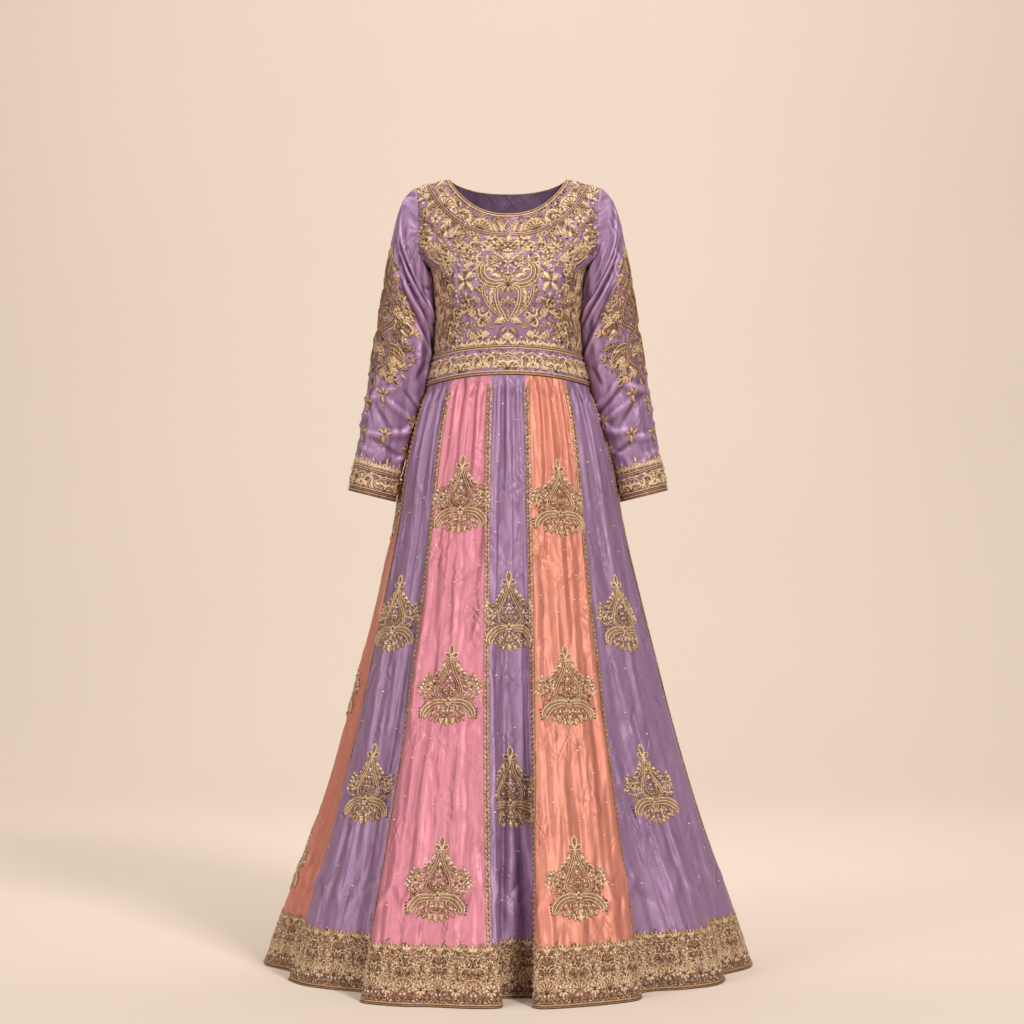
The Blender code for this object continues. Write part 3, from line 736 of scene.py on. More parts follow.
@dataclass
class NeckChart(Chart):
    """A bodice along its neckline: u runs along the neckline from its middle, v is minus the way out."""

    body: TorsoChart
    cut: BodiceCut = BodiceCut()
    width: float = 0.075
    stations: int = 121
    leaps: int = 30
    half: float = field(init=False)
    angles: Array = field(init=False)
    falls: Array = field(init=False)

    def __post_init__(self) -> None:
        """Walks out over the bodice from each place of the neckline, square to it."""
        face, torso = self.body.face, self.body.torso
        share = -face.value * np.linspace(-1, 1, self.stations) * self.cut.neck_share
        angle, fall = self.cut.top_edge(share, face)
        edge = torso.point(angle, fall, face)
        lengths = run_of(edge)
        self.half = lengths[-1] / 2
        along = unit(np.gradient(edge, axis=0))
        columns = [(angle, fall)]
        step = 1e-4
        leap = self.width / self.leaps
        for _ in range(self.leaps):
            here = torso.point(angle, fall, face)
            by_angle = (torso.point(angle + step, fall, face) - here) / step
            by_fall = (torso.point(angle, fall + step, face) - here) / step
            normal = unit(np.cross(by_angle, by_fall)) * -face.value
            away = unit(np.cross(normal, along)) * leap
            gram_a = (by_angle * by_angle).sum(1)
            gram_b = (by_angle * by_fall).sum(1)
            gram_c = (by_fall * by_fall).sum(1)
            want_a = (away * by_angle).sum(1)
            want_c = (away * by_fall).sum(1)
            size = gram_a * gram_c - gram_b**2
            angle = angle + (want_a * gram_c - want_c * gram_b) / size
            fall = np.maximum(fall + (want_c * gram_a - want_a * gram_b) / size, 0)
            columns.append((angle, fall))
        places = np.linspace(-self.half, self.half, self.stations)
        spaced = lengths - self.half
        self.angles = np.stack([np.interp(places, spaced, column[0]) for column in columns], axis=1)
        self.falls = np.stack([np.interp(places, spaced, column[1]) for column in columns], axis=1)

    def wrapped(self, u: Array, v: Array) -> tuple[Array, Array]:
        """The wrap angle and fall of a place along the neckline."""
        x = np.clip((u / self.half + 1) / 2 * (self.stations - 1), 0, self.stations - 1.001)
        y = np.clip(-v / self.width * self.leaps, 0, self.leaps - 0.001)
        return between(self.angles, x, y), between(self.falls, x, y)

    def base(self, u: Array, v: Array) -> Array:
        """The form's own points."""
        return self.body.torso.point(*self.wrapped(u, v), self.body.face)

    def rise(self, u: Array, v: Array) -> Array:
        """How far the creases lift the cloth there."""
        angle, fall = self.wrapped(u, v)
        return self.body.relief.sample(-self.body.face.value * angle * WRAP, -fall)


@dataclass
class SleeveChart(Chart):
    """A sleeve: u runs round it from its outer side, and v is minus the distance from the armhole."""

    side: Side
    relief: Relief
    form: SleeveForm = SleeveForm()
    upper_radius: float = 0.060
    wrist_radius: float = 0.045
    # The sleeves get stronger painted shade in their fold hollows and stronger painted highlight on their
    # ridges.
    trough: float = 0.0018
    painted_shade_strength: float = 1.7
    slack_along: tuple[float, ...] = (0.012, 0.03, 0.10, 0.18, 0.30, 0.40, 0.50, 0.55)
    slack: tuple[float, ...] = (0.0, 0.004, 0.0038, 0.005, 0.008, 0.011, 0.006, 0.0)

    def radius(self, along: Array) -> Array:
        """The sleeve's rough radius, by which u turns into an angle."""
        share = smoothstep(0.15, 0.60, along)
        return self.upper_radius + (self.wrist_radius - self.upper_radius) * share

    def base(self, u: Array, v: Array) -> Array:
        """The form's own points."""
        along = np.clip(-v, 0, self.form.length)
        angle = -self.side.value * u / self.radius(along)
        return self.form.point(self.side, angle, along)

    def rise(self, u: Array, v: Array) -> Array:
        """How far the cloth stands off there, by its creases and by its slack on the body's side."""
        inner = 0.5 - 0.5 * np.cos(u / self.radius(-v))
        return self.relief.sample(u, v) + np.interp(-v, self.slack_along, self.slack) * inner**2


@dataclass
class KaliChart(Chart):
    """A skirt panel: u is measured from its middle at each height, and v from the hem up its slant."""

    number: int
    relief: Relief
    form: SkirtForm = SkirtForm()
    slant: float = 1.134
    hem_half: float = 0.150  # creases are drawn for a panel this wide all the way up
    rows: int = 61
    columns: int = 81
    halves: Array = field(init=False)
    panels: Array = field(init=False)

    def __post_init__(self) -> None:
        """Measures the panel's width at each height, and spaces its places evenly along it."""
        self.halves = np.zeros(self.rows)
        self.panels = np.zeros((self.rows, self.columns))
        fine = self.number + np.linspace(-0.5, 0.5, 4 * self.columns + 1)
        even = np.linspace(-1, 1, self.columns)
        for row, down in enumerate(np.linspace(0, 1, self.rows)):
            points = self.form.point(fine, np.full(len(fine), down))
            lengths = run_of(points)
            self.halves[row] = lengths[-1] / 2
            self.panels[row] = np.interp(even, lengths / self.halves[row] - 1, fine)

    def half(self, v: Array) -> Array:
        """Half the panel's width at a height."""
        down = np.clip(1 - v / self.slant, 0, 1)
        return np.interp(down, np.linspace(0, 1, self.rows), self.halves)

    def half_at(self, y: float) -> float:
        """Half the panel's width at one height, which is given in millimetres."""
        return float(self.half(y * MM))

    def panel(self, share: Array, down: Array) -> Array:
        """The panel number at a share of the panel's half width."""
        x = np.clip((share + 1) / 2 * (self.columns - 1), -4, self.columns + 3)
        y = np.clip(down * (self.rows - 1), 0, self.rows - 1.001)
        return between(self.panels.T, x, y)

    def base(self, u: Array, v: Array) -> Array:
        """The form's own points."""
        down = np.clip(1 - v / self.slant, 0, 1)
        return self.form.point(self.panel(u / self.half(v), down), down)

    def rise(self, u: Array, v: Array) -> Array:
        """How far the creases lift the cloth there."""
        half = self.half(v)
        fading = smoothstep(0, 0.008, half - abs(u))
        return self.relief.sample(u / half * self.hem_half, v) * fading


@dataclass
class BorderChart(Chart):
    """A panel's hem in which a whole number of repeats fills its width at every height."""

    kali: KaliChart
    width: float

    def across(self, u: Array, v: Array) -> Array:
        """The panel's own place for a place of the border."""
        return u * self.kali.half(v) * 2 / self.width

    def base(self, u: Array, v: Array) -> Array:
        """The form's own points."""
        return self.kali.base(self.across(u, v), v)

    def rise(self, u: Array, v: Array) -> Array:
        """How far the creases lift the cloth there."""
        return self.kali.rise(self.across(u, v), v)


@dataclass
class SeamChart(Chart):
    """The strip over the seam on a panel's +X side."""

    number: int
    form: SkirtForm = SkirtForm()
    slant: float = 1.134
    nearby: float = 0.02

    def base(self, u: Array, v: Array) -> Array:
        """The form's own points."""
        down = np.clip(1 - v / self.slant, 0, 1)
        seam = np.full(len(u), self.number + 0.5)
        span = self.form.point(seam + self.nearby, down) - self.form.point(seam - self.nearby, down)
        rate = np.linalg.norm(span, axis=1) / (2 * self.nearby)
        return self.form.point(seam + u / rate, down)


# ---- Needlework, drawn flat in millimetres ----


@lru_cache(maxsize=None)
def grid_faces(columns: int, rows: int) -> Array:
    """The quads of a grid whose points are numbered up each column in turn."""
    shape = bmesh.new()
    bmesh.ops.create_grid(shape, x_segments=columns - 1, y_segments=rows - 1, size=1)
    shape.verts.index_update()
    column = [round((vertex.co.x + 1) / 2 * (columns - 1)) for vertex in shape.verts]
    row = [round((vertex.co.y + 1) / 2 * (rows - 1)) for vertex in shape.verts]
    quads = [[column[v.index] * rows + row[v.index] for v in face.verts] for face in shape.faces]
    shape.free()
    return np.array(quads)


def in_triangles(quads: Array) -> Array:
    """Each quad as two triangles."""
    return np.concatenate([quads[:, [0, 1, 2]], quads[:, [0, 2, 3]]])


@lru_cache(maxsize=None)
def dome(sides: int, rings: int) -> tuple[Array, Array]:
    """A half ball of radius 1 on the cloth, in triangles."""
    shape = bmesh.new()
    bmesh.ops.create_uvsphere(shape, u_segments=sides, v_segments=2 * rings, radius=1)
    whole = [*shape.verts, *shape.edges, *shape.faces]
    down = (0, 0, -1)
    bmesh.ops.bisect_plane(shape, geom=whole, dist=1e-4, plane_no=down, clear_outer=True)
    bmesh.ops.triangulate(shape, faces=shape.faces[:])
    shape.verts.index_update()
    points = np.array([vertex.co[:] for vertex in shape.verts])
    faces = np.array([[vertex.index for vertex in face.verts] for face in shape.faces])
    shape.free()
    return points, faces


@dataclass
class Needlework:
    """Stitches as points, triangles, and what each point and triangle is made of.

    weave runs along and across each stitch, tone goes from 0 for dark thread to 1 for light.
    """

    points: Array = field(default_factory=lambda: np.zeros((0, 3)))
    faces: Array = field(default_factory=lambda: np.zeros((0, 3), int))
    weave: Array = field(default_factory=lambda: np.zeros((0, 2)))
    tone: Array = field(default_factory=lambda: np.zeros(0))
    thread: Array = field(default_factory=lambda: np.zeros(0, int))

    @staticmethod
    def together(parts: Sequence["Needlework"]) -> "Needlework":
        """Many pieces of needlework as one."""
        parts = [part for part in parts if len(part.points)]
        if not parts:
            return Needlework()
        names = [kept.name for kept in fields(Needlework)]
        joined = {name: np.concatenate([getattr(part, name) for part in parts]) for name in names}
        starts = np.cumsum([0] + [len(part.points) for part in parts[:-1]])
        joined["faces"] = np.concatenate([part.faces + start for part, start in zip(parts, starts)])
        return Needlework(**joined)

    def placed(
        self, x: float = 0, y: float = 0, turn: float = 0, size: float = 1, flip: bool = False
    ) -> "Needlework":
        """The same work in another place.

        Args:
            x: where its own origin goes.
            y: where its own origin goes.
            turn: how far it turns, in degrees to the right.
            size: how much larger it becomes.
            flip: whether it is mirrored left to right first.

        Returns:
            The work in its place.
        """
        angle = math.radians(turn)
        side = -1 if flip else 1
        across = self.points[:, 0] * side * size
        along = self.points[:, 1] * size
        points = self.points.copy()
        points[:, 0] = x + across * math.cos(angle) + along * math.sin(angle)
        points[:, 1] = y - across * math.sin(angle) + along * math.cos(angle)
        faces = self.faces[:, ::-1] if flip else self.faces
        return Needlework(points, faces, self.weave, self.tone, self.thread)

    def mirrored(self) -> "Needlework":
        """The work and its mirror image about x = 0."""
        return Needlework.together([self, self.placed(flip=True)])

    def toned(self, change: float) -> "Needlework":
        """The same work in lighter or darker thread."""
        return Needlework(self.points, self.faces, self.weave, np.clip(self.tone + change, 0, 1), self.thread)


# How much fuller threads lie than their drawing: width and height of cords, leaves and beads.
CORD_WIDE, CORD_HIGH = 1.55, 1.6
LEAF_WIDE, LEAF_HIGH = 1.50, 1.7
BEAD_WIDE, BEAD_HIGH = 1.30, 1.4


def left_of(line: Array) -> Array:
    """The direction to the left of a line, at each of its points."""
    forward = unit(np.gradient(line, axis=0))
    return np.stack([-forward[:, 1], forward[:, 0]], axis=1)


def stitched(
    middle: Array, left: Array, lift: Array, run: Array, sink: float, tone: float, thread: Thread, way: int
) -> Needlework:
    """A long stitch: a raised line between two edges that lie in the cloth.

    Args:
        middle: the points of its middle line.
        left: how far and which way its left edge lies from each of them.
        lift: how high each of them lies.
        run: how far along the stitch each of them is.
        sink: how deep the edges lie in the cloth.
        tone: how light it is.
        thread: what it is made of.
        way: the side that its weave counts as positive, 1 for the left.

    Returns:
        The stitch.
    """
    count = len(middle)
    heights = {1: np.full(count, -sink), 0: lift, -1: np.full(count, -sink)}
    layers = [np.column_stack([middle + left * side, height]) for side, height in heights.items()]
    weave = [np.column_stack([run, np.full(count, float(way * side))]) for side in heights]
    faces = in_triangles(grid_faces(3, count))
    points, threads = np.concatenate(layers), np.full(len(faces), thread.value)
    return Needlework(points, faces, np.concatenate(weave), np.full(3 * count, tone), threads)


@dataclass(frozen=True)
class Cord:
    """A couched cord, or a row of close stitches, that lies along a line."""

    width: float = 1.6
    rise: float = 1.0
    tone: float = 0.6
    step: float = 3.2
    sink: float = 0.35  # how deep its edges go into the cloth
    taper: float = 0.0  # the part of its length over which its ends thin

    def along(self, path: Path) -> Needlework:
        """The cord on a smooth line through the path's points."""
        line = flowing(path, self.step)
        run = run_of(line)
        share = run / max(run[-1], 1e-9)
        thin = np.ones(len(line))
        if self.taper:
            thin = np.clip(np.minimum(share, 1 - share) / self.taper, 0.15, 1) ** 0.7
        left = left_of(line) * (self.width * CORD_WIDE / 2 * thin)[:, None]
        return stitched(line, left, self.rise * CORD_HIGH * thin, run, self.sink, self.tone, Thread.GOLD, 1)

    def pair(self, path: Path, gap: float) -> Needlework:
        """Two such cords side by side, a gap apart between their middles."""
        line = flowing(path, self.step)
        return Needlework.together([self.along(line + left_of(line) * gap * s / 2) for s in (-1, 1)])


@dataclass(frozen=True)
class Leaf:
    """A pointed leaf or petal of satin stitch that grows up from its base."""

    length: float = 8.0
    width: float = 3.2
    bend: float = 0.0  # how far its tip turns to the right, in degrees
    rise: float = 1.0
    tone: float = 0.6
    thread: Thread = Thread.GOLD
    fullest: float = 0.75  # below 1 the leaf is widest nearer its base
    stations: int = 4

    def drawn(self) -> Needlework:
        """The leaf with its base at the origin."""
        share = np.linspace(0, 1, self.stations)
        turn = math.radians(self.bend) * share
        step = self.length / (self.stations - 1)
        mean = (turn[1:] + turn[:-1]) / 2
        steps = np.column_stack([np.sin(mean), np.cos(mean)]) * step
        middle = np.vstack([[0, 0], np.cumsum(steps, axis=0)])
        swell = np.maximum(np.sin(math.pi * share**self.fullest), 0.10)
        half = self.width * LEAF_WIDE / 2 * swell
        left = np.column_stack([-half * np.cos(turn), half * np.sin(turn)])
        lift = self.rise * LEAF_HIGH * swell**0.6
        return stitched(middle, left, lift, share * self.length, 0.3, self.tone, self.thread, -1)


BEAD_SINK = 0.25  # millimetres


@dataclass(frozen=True)
class Bead:
    """A round bead, a knot or a stone; sides sets how many faces it has."""

    radius: float = 1.5
    rise: float = 1.2
    tone: float = 0.8
    thread: Thread = Thread.GOLD
    sides: int = 6
    rings: int = 2

    def at(self, *places: tuple[float, float]) -> Needlework:
        """Beads with their middles at the places."""
        many = len(places)
        shape, faces = dome(self.sides, self.rings)
        wide = self.radius * BEAD_WIDE
        points = np.tile(shape * np.array([wide, wide, self.rise * BEAD_HIGH]), (many, 1, 1))
        points[..., :2] += np.array(places, float).reshape(-1, 1, 2)
        points[..., 2] -= BEAD_SINK
        starts = np.arange(many)[:, None, None] * len(shape)
        weave = np.tile(shape[:, :2] * self.radius, (many, 1))
        tone, thread = np.full(many * len(shape), self.tone), np.full(many * len(faces), self.thread.value)
        return Needlework(points.reshape(-1, 3), (faces[None] + starts).reshape(-1, 3), weave, tone, thread)


SEED = Bead(radius=0.85, rise=0.9, sides=5, rings=1)
PEARL = Bead(radius=1.35, rise=1.4, thread=Thread.PEARL)
STONE = Bead(radius=1.6, rise=1.2, thread=Thread.STONE)


def turned_out(part: Needlework, turns: Sequence[float], radius: float) -> Needlework:
    """Copies of a part round the origin, each at its own turn and pointing outwards."""
    ways = [(turn, math.radians(turn)) for turn in turns]
    return Needlework.together([part.placed(radius * math.sin(a), radius * math.cos(a), t) for t, a in ways])


def ring_of(part: Needlework, count: int, radius: float, start: float = 0) -> Needlework:
    """Copies of a part all round the origin."""
    return turned_out(part, [start + 360 * i / count for i in range(count)], radius)


def fan_of(part: Needlework, count: int, radius: float, spread: float) -> Needlework:
    """Copies of a part that fan out about straight up, over twice the spread."""
    return turned_out(part, np.linspace(-spread, spread, count), radius)


def circle(radius: float, start: float = 0, end: float = 360, sides: int = 10) -> Path:
    """Points round an arc, in degrees to the right from straight up."""
    turns = np.radians(np.linspace(start, end, sides + 1))
    return np.column_stack([radius * np.sin(turns), radius * np.cos(turns)])


@dataclass(frozen=True)
class Rosette:
    """A flower: petals round a ring of seed beads and a stone."""

    radius: float = 7.0
    petals: int = 7
    tone: float = 0.6
    seeded: bool = True

    def drawn(self) -> Needlework:
        """The flower about the origin."""
        eye = self.radius * 0.26
        long = self.radius - eye * 0.9
        wide = 2 * math.pi * self.radius * 0.62 / self.petals
        petal = Leaf(long, wide * 0.92, rise=1.1, tone=self.tone, fullest=1.25)
        parts = [ring_of(petal.drawn(), self.petals, eye * 0.9)]
        if self.seeded:
            parts.append(SEED.at(*circle(eye * 1.15, 0, 360 * (1 - 1 / self.petals), self.petals - 1)))
        middle = Bead(eye, 1.6, 0.9, Thread.STONE)
        return Needlework.together(parts + [middle.at((0, 0))])


@dataclass(frozen=True)
class Shell:
    """A fan of ribs under a scalloped cord, on a bead."""

    radius: float = 12.0
    ribs: int = 7
    spread: float = 78.0
    tone: float = 0.7

    def drawn(self) -> Needlework:
        """The fan with its root at the origin."""
        wide = 2 * math.radians(self.spread) * self.radius * 0.8 / self.ribs
        rib = Leaf(self.radius * 0.72, wide * 0.8, rise=1.2, tone=self.tone, fullest=1.5)
        parts = [fan_of(rib.drawn(), self.ribs, self.radius * 0.22, self.spread)]
        turns = np.linspace(-self.spread - 8, self.spread + 8, 2 * self.ribs + 1)
        reach = self.radius * (0.97 + 0.09 * (np.arange(len(turns)) % 2))
        rim = np.column_stack([reach * np.sin(np.radians(turns)), reach * np.cos(np.radians(turns))])
        parts.append(Cord(1.3, 0.9, self.tone + 0.15, step=2.5).along(rim))
        inner = circle(self.radius * 0.25, -self.spread, self.spread, 4)
        parts.append(SEED.at(*inner))
        parts.append(Bead(self.radius * 0.17, 1.5, 0.5, Thread.STONE).at((0, self.radius * 0.02)))
        return Needlework.together(parts)


PAISLEY_EDGE = (
    (0.55, 0.98), (-0.05, 0.90), (-0.55, 0.68), (-0.98, 0.38), (-0.86, 0.12), (-0.30, 0.0), (0.42, 0.02),
    (0.95, 0.20), (0.92, 0.42), (0.42, 0.62), (0.22, 0.78), (0.55, 0.98),
)


@dataclass(frozen=True)
class Paisley:
    """A curled drop: two outlines, ribs inside, and beads outside."""

    length: float = 22.0
    width: float = 12.0
    tone: float = 0.65

    def outline(self, share: float) -> Array:
        """The drop's outline at a share of its size, from its tip round to its tip."""
        w, h = self.width / 2 * share, self.length * share
        lift = self.width / 2 * (1 - share)
        return np.array(PAISLEY_EDGE) * [w, h] + [0, lift]

    def drawn(self) -> Needlework:
        """The drop with its round end on the origin and its tip curled to the right."""
        parts = [
            Cord(1.5, 1.2, self.tone + 0.15, step=2.6).along(self.outline(1.0)),
            Cord(1.1, 0.9, self.tone - 0.25, step=3.0).along(self.outline(0.74)),
        ]
        rib = Leaf(self.length * 0.30, self.width * 0.16, bend=18, tone=self.tone + 0.1)
        low = self.width * 0.30
        parts.append(fan_of(rib.drawn(), 4, self.width * 0.14, 42).placed(0, low))
        parts.append(Bead(self.width * 0.13, 1.4, 0.9, Thread.PEARL).at((0, low)))
        rim = flowing(self.outline(1.18)[2:9], 2.7) - np.array([0, self.width * 0.02])
        parts.append(SEED.at(*rim))
        return Needlework.together(parts)


@dataclass(frozen=True)
class Trefoil:
    """Three looped outlines with a dark leaf in each."""

    size: float = 20.0
    tone: float = 1.0

    def loop(self, length: float, width: float) -> Needlework:
        """One loop that grows up from the origin."""
        rise = [(0.75, 0.34), (1.0, 0.62), (0.5, 0.88)]
        edge = [(0, 0), *rise, (0, 1), *[(-x, y) for x, y in rise[::-1]], (0, 0)]
        line = [(width / 2 * x, length * y) for x, y in edge]
        inner = Leaf(length * 0.72, width * 0.42, rise=0.8, tone=0.12).drawn().placed(0, length * 0.14)
        return Needlework.together([Cord(2.0, 1.5, self.tone, step=2.4).along(line), inner])

    def drawn(self) -> Needlework:
        """The trefoil with its foot at the origin."""
        side = self.loop(self.size * 0.62, self.size * 0.38)
        return Needlework.together(
            [
                self.loop(self.size, self.size * 0.42).placed(0, self.size * 0.08),
                side.placed(0.8, 0, 58),
                side.placed(-0.8, 0, -58),
                Bead(self.size * 0.08, 1.5, 0.9).at((0, 0)),
            ]
        )


@dataclass(frozen=True)
class Curl:
    """A cord that winds into a small spiral with a bead in its eye."""

    radius: float = 5.0
    turns: float = 1.25
    width: float = 1.6
    tone: float = 0.75

    def drawn(self) -> Needlework:
        """The spiral about the origin; it comes in from below on the left."""
        share = np.linspace(0, 1, max(6, int(9 * self.turns)))
        turn = np.radians(-150) + share * math.tau * self.turns
        reach = self.radius * (1 - 0.72 * share)
        line = np.column_stack([reach * np.sin(turn), reach * np.cos(turn)])
        middle = Bead(self.radius * 0.22, 1.4, 0.9, Thread.PEARL)
        cord = Cord(self.width, 1.2, self.tone, step=2.4)
        return Needlework.together([cord.along(line), middle.at((0, 0))])


@dataclass(frozen=True)
class Spray:
    """Leaves in pairs up a stem, with one at its end."""

    length: float = 30.0
    pairs: int = 4
    leaf: float = 8.0
    bend: float = 0.0
    tone: float = 0.6
    tip: float = 1.3

    def drawn(self) -> Needlework:
        """The stem with its foot at the origin."""
        share = np.linspace(0, 1, 6)
        turn = math.radians(self.bend)
        x = self.length * (1 - np.cos(turn * share)) / turn if abs(turn) > 0.01 else share * 0
        y = self.length * np.sin(turn * share) / turn if abs(turn) > 0.01 else share * self.length
        parts = [Cord(1.2, 0.9, self.tone + 0.2).along(np.column_stack([x, y]))]
        for i in range(self.pairs):
            s = (i + 0.6) / (self.pairs + 0.4)
            px, py = np.interp(s, share, x), np.interp(s, share, y)
            lean = math.degrees(turn * s)
            long = self.leaf * (1.1 - 0.45 * s)
            change = 0.12 * (-1) ** i
            for side in (-1, 1):
                blade = Leaf(long, long * 0.36, bend=-22 * side, tone=self.tone + change * side)
                parts.append(blade.drawn().placed(px, py, lean + 48 * side))
            parts.append(SEED.at((px, py)))
        top = Leaf(self.leaf * self.tip, self.leaf * 0.42, tone=self.tone + 0.2)
        parts.append(top.drawn().placed(x[-1], y[-1], math.degrees(turn)))
        return Needlework.together(parts)


@dataclass(frozen=True)
class Drop:
    """A pointed stone in a cord, with small leaves at its top and beads below."""

    length: float = 20.0
    tone: float = 0.85

    def drawn(self) -> Needlework:
        """The drop about the origin."""
        half, wide = self.length * 0.30, self.length * 0.27
        edge = [(0, -half * 1.5), (wide, 0), (wide * 0.62, half * 0.8), (0, half)]
        edge += [(-wide * 0.62, half * 0.8), (-wide, 0), (0, -half * 1.5)]
        stone = Leaf(half * 1.3, wide * 0.55, rise=1.5, thread=Thread.STONE, fullest=1.4).drawn()
        crown = fan_of(Leaf(self.length * 0.2, self.length * 0.11, tone=self.tone).drawn(), 3, 0, 42)
        foot = [(0, -half * 1.8 - 1.5), (0.4, -half * 1.8 - 4.2)]
        return Needlework.together(
            [
                Cord(2.6, 1.6, self.tone, step=2.4).along(edge),
                stone.placed(0, -half * 0.8),
                crown.placed(0, half + 0.6),
                Bead(1.1, 1.2, 0.9).at(*foot),
            ]
        )


# ---- Finishes ----

Colour = tuple[float, float, float]
Socket = bpy.types.NodeSocket


class NodeBench:
    """Lays out the nodes of one material, whose shader stands ready."""

    def __init__(self, name: str) -> None:
        """Starts a material that has only its shader."""
        self.material = bpy.data.materials.new(name)
        self.material.use_nodes = True
        self.tree = self.material.node_tree
        self.shader = self.tree.nodes["Principled BSDF"]

    def add(self, kind: str, inputs: dict[str, object], **settings: object) -> bpy.types.Node:
        """A node.

        Args:
            kind: Blender's name for its type.
            inputs: values, or sockets to link, by the input's name.
            settings: the node's own settings.

        Returns:
            The node.
        """
        node = self.tree.nodes.new(kind)
        for name, value in settings.items():
            setattr(node, name, value)
        self.feed(node, inputs)
        return node

    def feed(self, node: bpy.types.Node, inputs: dict[str, object]) -> None:
        """Sets or links a node's inputs by name."""
        for name, value in inputs.items():
            socket = node.inputs[int(name) if name.isdigit() else name]
            if isinstance(value, Socket):
                self.tree.links.new(value, socket)
            else:
                socket.default_value = value

    def own(self, name: str) -> Socket:
        """The mesh's own numbers of that name."""
        return self.add("ShaderNodeAttribute", {}, attribute_name=name).outputs["Fac"]

    def map_of(self, name: str) -> Socket:
        """The mesh's map of that name."""
        return self.add("ShaderNodeUVMap", {}, uv_map=name).outputs["UV"]

    def turned(self, places: Socket, **change: tuple[float, float, float]) -> Socket:
        """Places scaled or turned."""
        return self.add("ShaderNodeMapping", {"Vector": places, **change}).outputs["Vector"]

    def cloud(self, scale: float, detail: float) -> Socket:
        """A noise in the object's own space."""
        place = self.add("ShaderNodeTexCoord", {}).outputs["Object"]
        inputs = {"Vector": place, "Scale": scale, "Detail": detail}
        return self.add("ShaderNodeTexNoise", inputs).outputs["Fac"]

    def finished(self, looks: dict[str, object]) -> bpy.types.Material:
        """The material, its shader given its looks."""
        self.feed(self.shader, looks)
        return self.material

    def cloth_noise(self, across: float, along: float, detail: float = 2.0) -> Socket:
        """A noise whose grain has its own length across and along the cloth, in metres."""
        places = self.turned(self.map_of("cloth"), Scale=(1 / across, 1 / along, 1.0))
        inputs = {"Vector": places, "Scale": 1.0, "Detail": detail}
        return self.add("ShaderNodeTexNoise", inputs).outputs["Fac"]

    def folds(self, across: float, along: float, turn: float) -> Socket:
        """A noise with sharp valleys that lean, as crushed silk has, in some places more than in others."""
        leaned = self.turned(self.map_of("cloth"), Rotation=(0.0, 0.0, math.radians(turn)))
        places = self.turned(leaned, Scale=(1 / across, 1 / along, 1.0))
        inputs = {"Vector": places, "Scale": 1.0, "Detail": 1.5, "Roughness": 0.4, "Distortion": 0.6}
        noise = self.add("ShaderNodeTexNoise", inputs).outputs["Fac"]
        valley = self.maths("ABSOLUTE", self.maths("SUBTRACT", noise, 0.5))
        capped = self.maths("MINIMUM", valley, 0.11)
        stops = [(0.48, (0.05, 0.05, 0.05)), (0.66, (1.0, 1.0, 1.0))]
        where = self.ramp(self.cloth_noise(0.075, 0.12, 1.0), stops)
        return self.maths("MULTIPLY", capped, where)

    def ramp(self, value: Socket, stops: Sequence[tuple[float, Colour]]) -> Socket:
        """A colour for a value, through stops from low to high."""
        node = self.add("ShaderNodeValToRGB", {"Fac": value})
        elements = node.color_ramp.elements
        while len(elements) < len(stops):
            elements.new(0.5)
        for element, (place, colour) in zip(elements, stops):
            element.position = place
            element.color = (*colour, 1.0)
        return node.outputs["Color"]

    def mixed(self, share: object, low: object, high: object, blend: str = "MIX") -> Socket:
        """Two colours mixed."""
        inputs = {"0": share, "6": low, "7": high}
        return self.add("ShaderNodeMix", inputs, data_type="RGBA", blend_type=blend).outputs[2]

    def maths(self, operation: str, first: object, second: object = 0.0) -> Socket:
        """A sum, product or other result of two values."""
        return self.add("ShaderNodeMath", {"0": first, "1": second}, operation=operation).outputs[0]

    def bump(self, height: Socket, distance: float, strength: float, under: object = None) -> Socket:
        """A normal that a height bends, on top of another one."""
        inputs = {"Height": height, "Distance": distance, "Strength": strength}
        if under is not None:
            inputs["Normal"] = under
        return self.add("ShaderNodeBump", inputs).outputs["Normal"]


def shaded(colour: Colour, factor: float) -> Colour:
    """A colour made lighter or darker."""
    return tuple(min(channel * factor, 1.0) for channel in colour)


# The small creases' spacing and length, in metres, and their lean in degrees.
FOLD_LEANS = ((0.022, 0.090, 28.0), (0.020, 0.075, -34.0), (0.026, 0.160, 4.0))


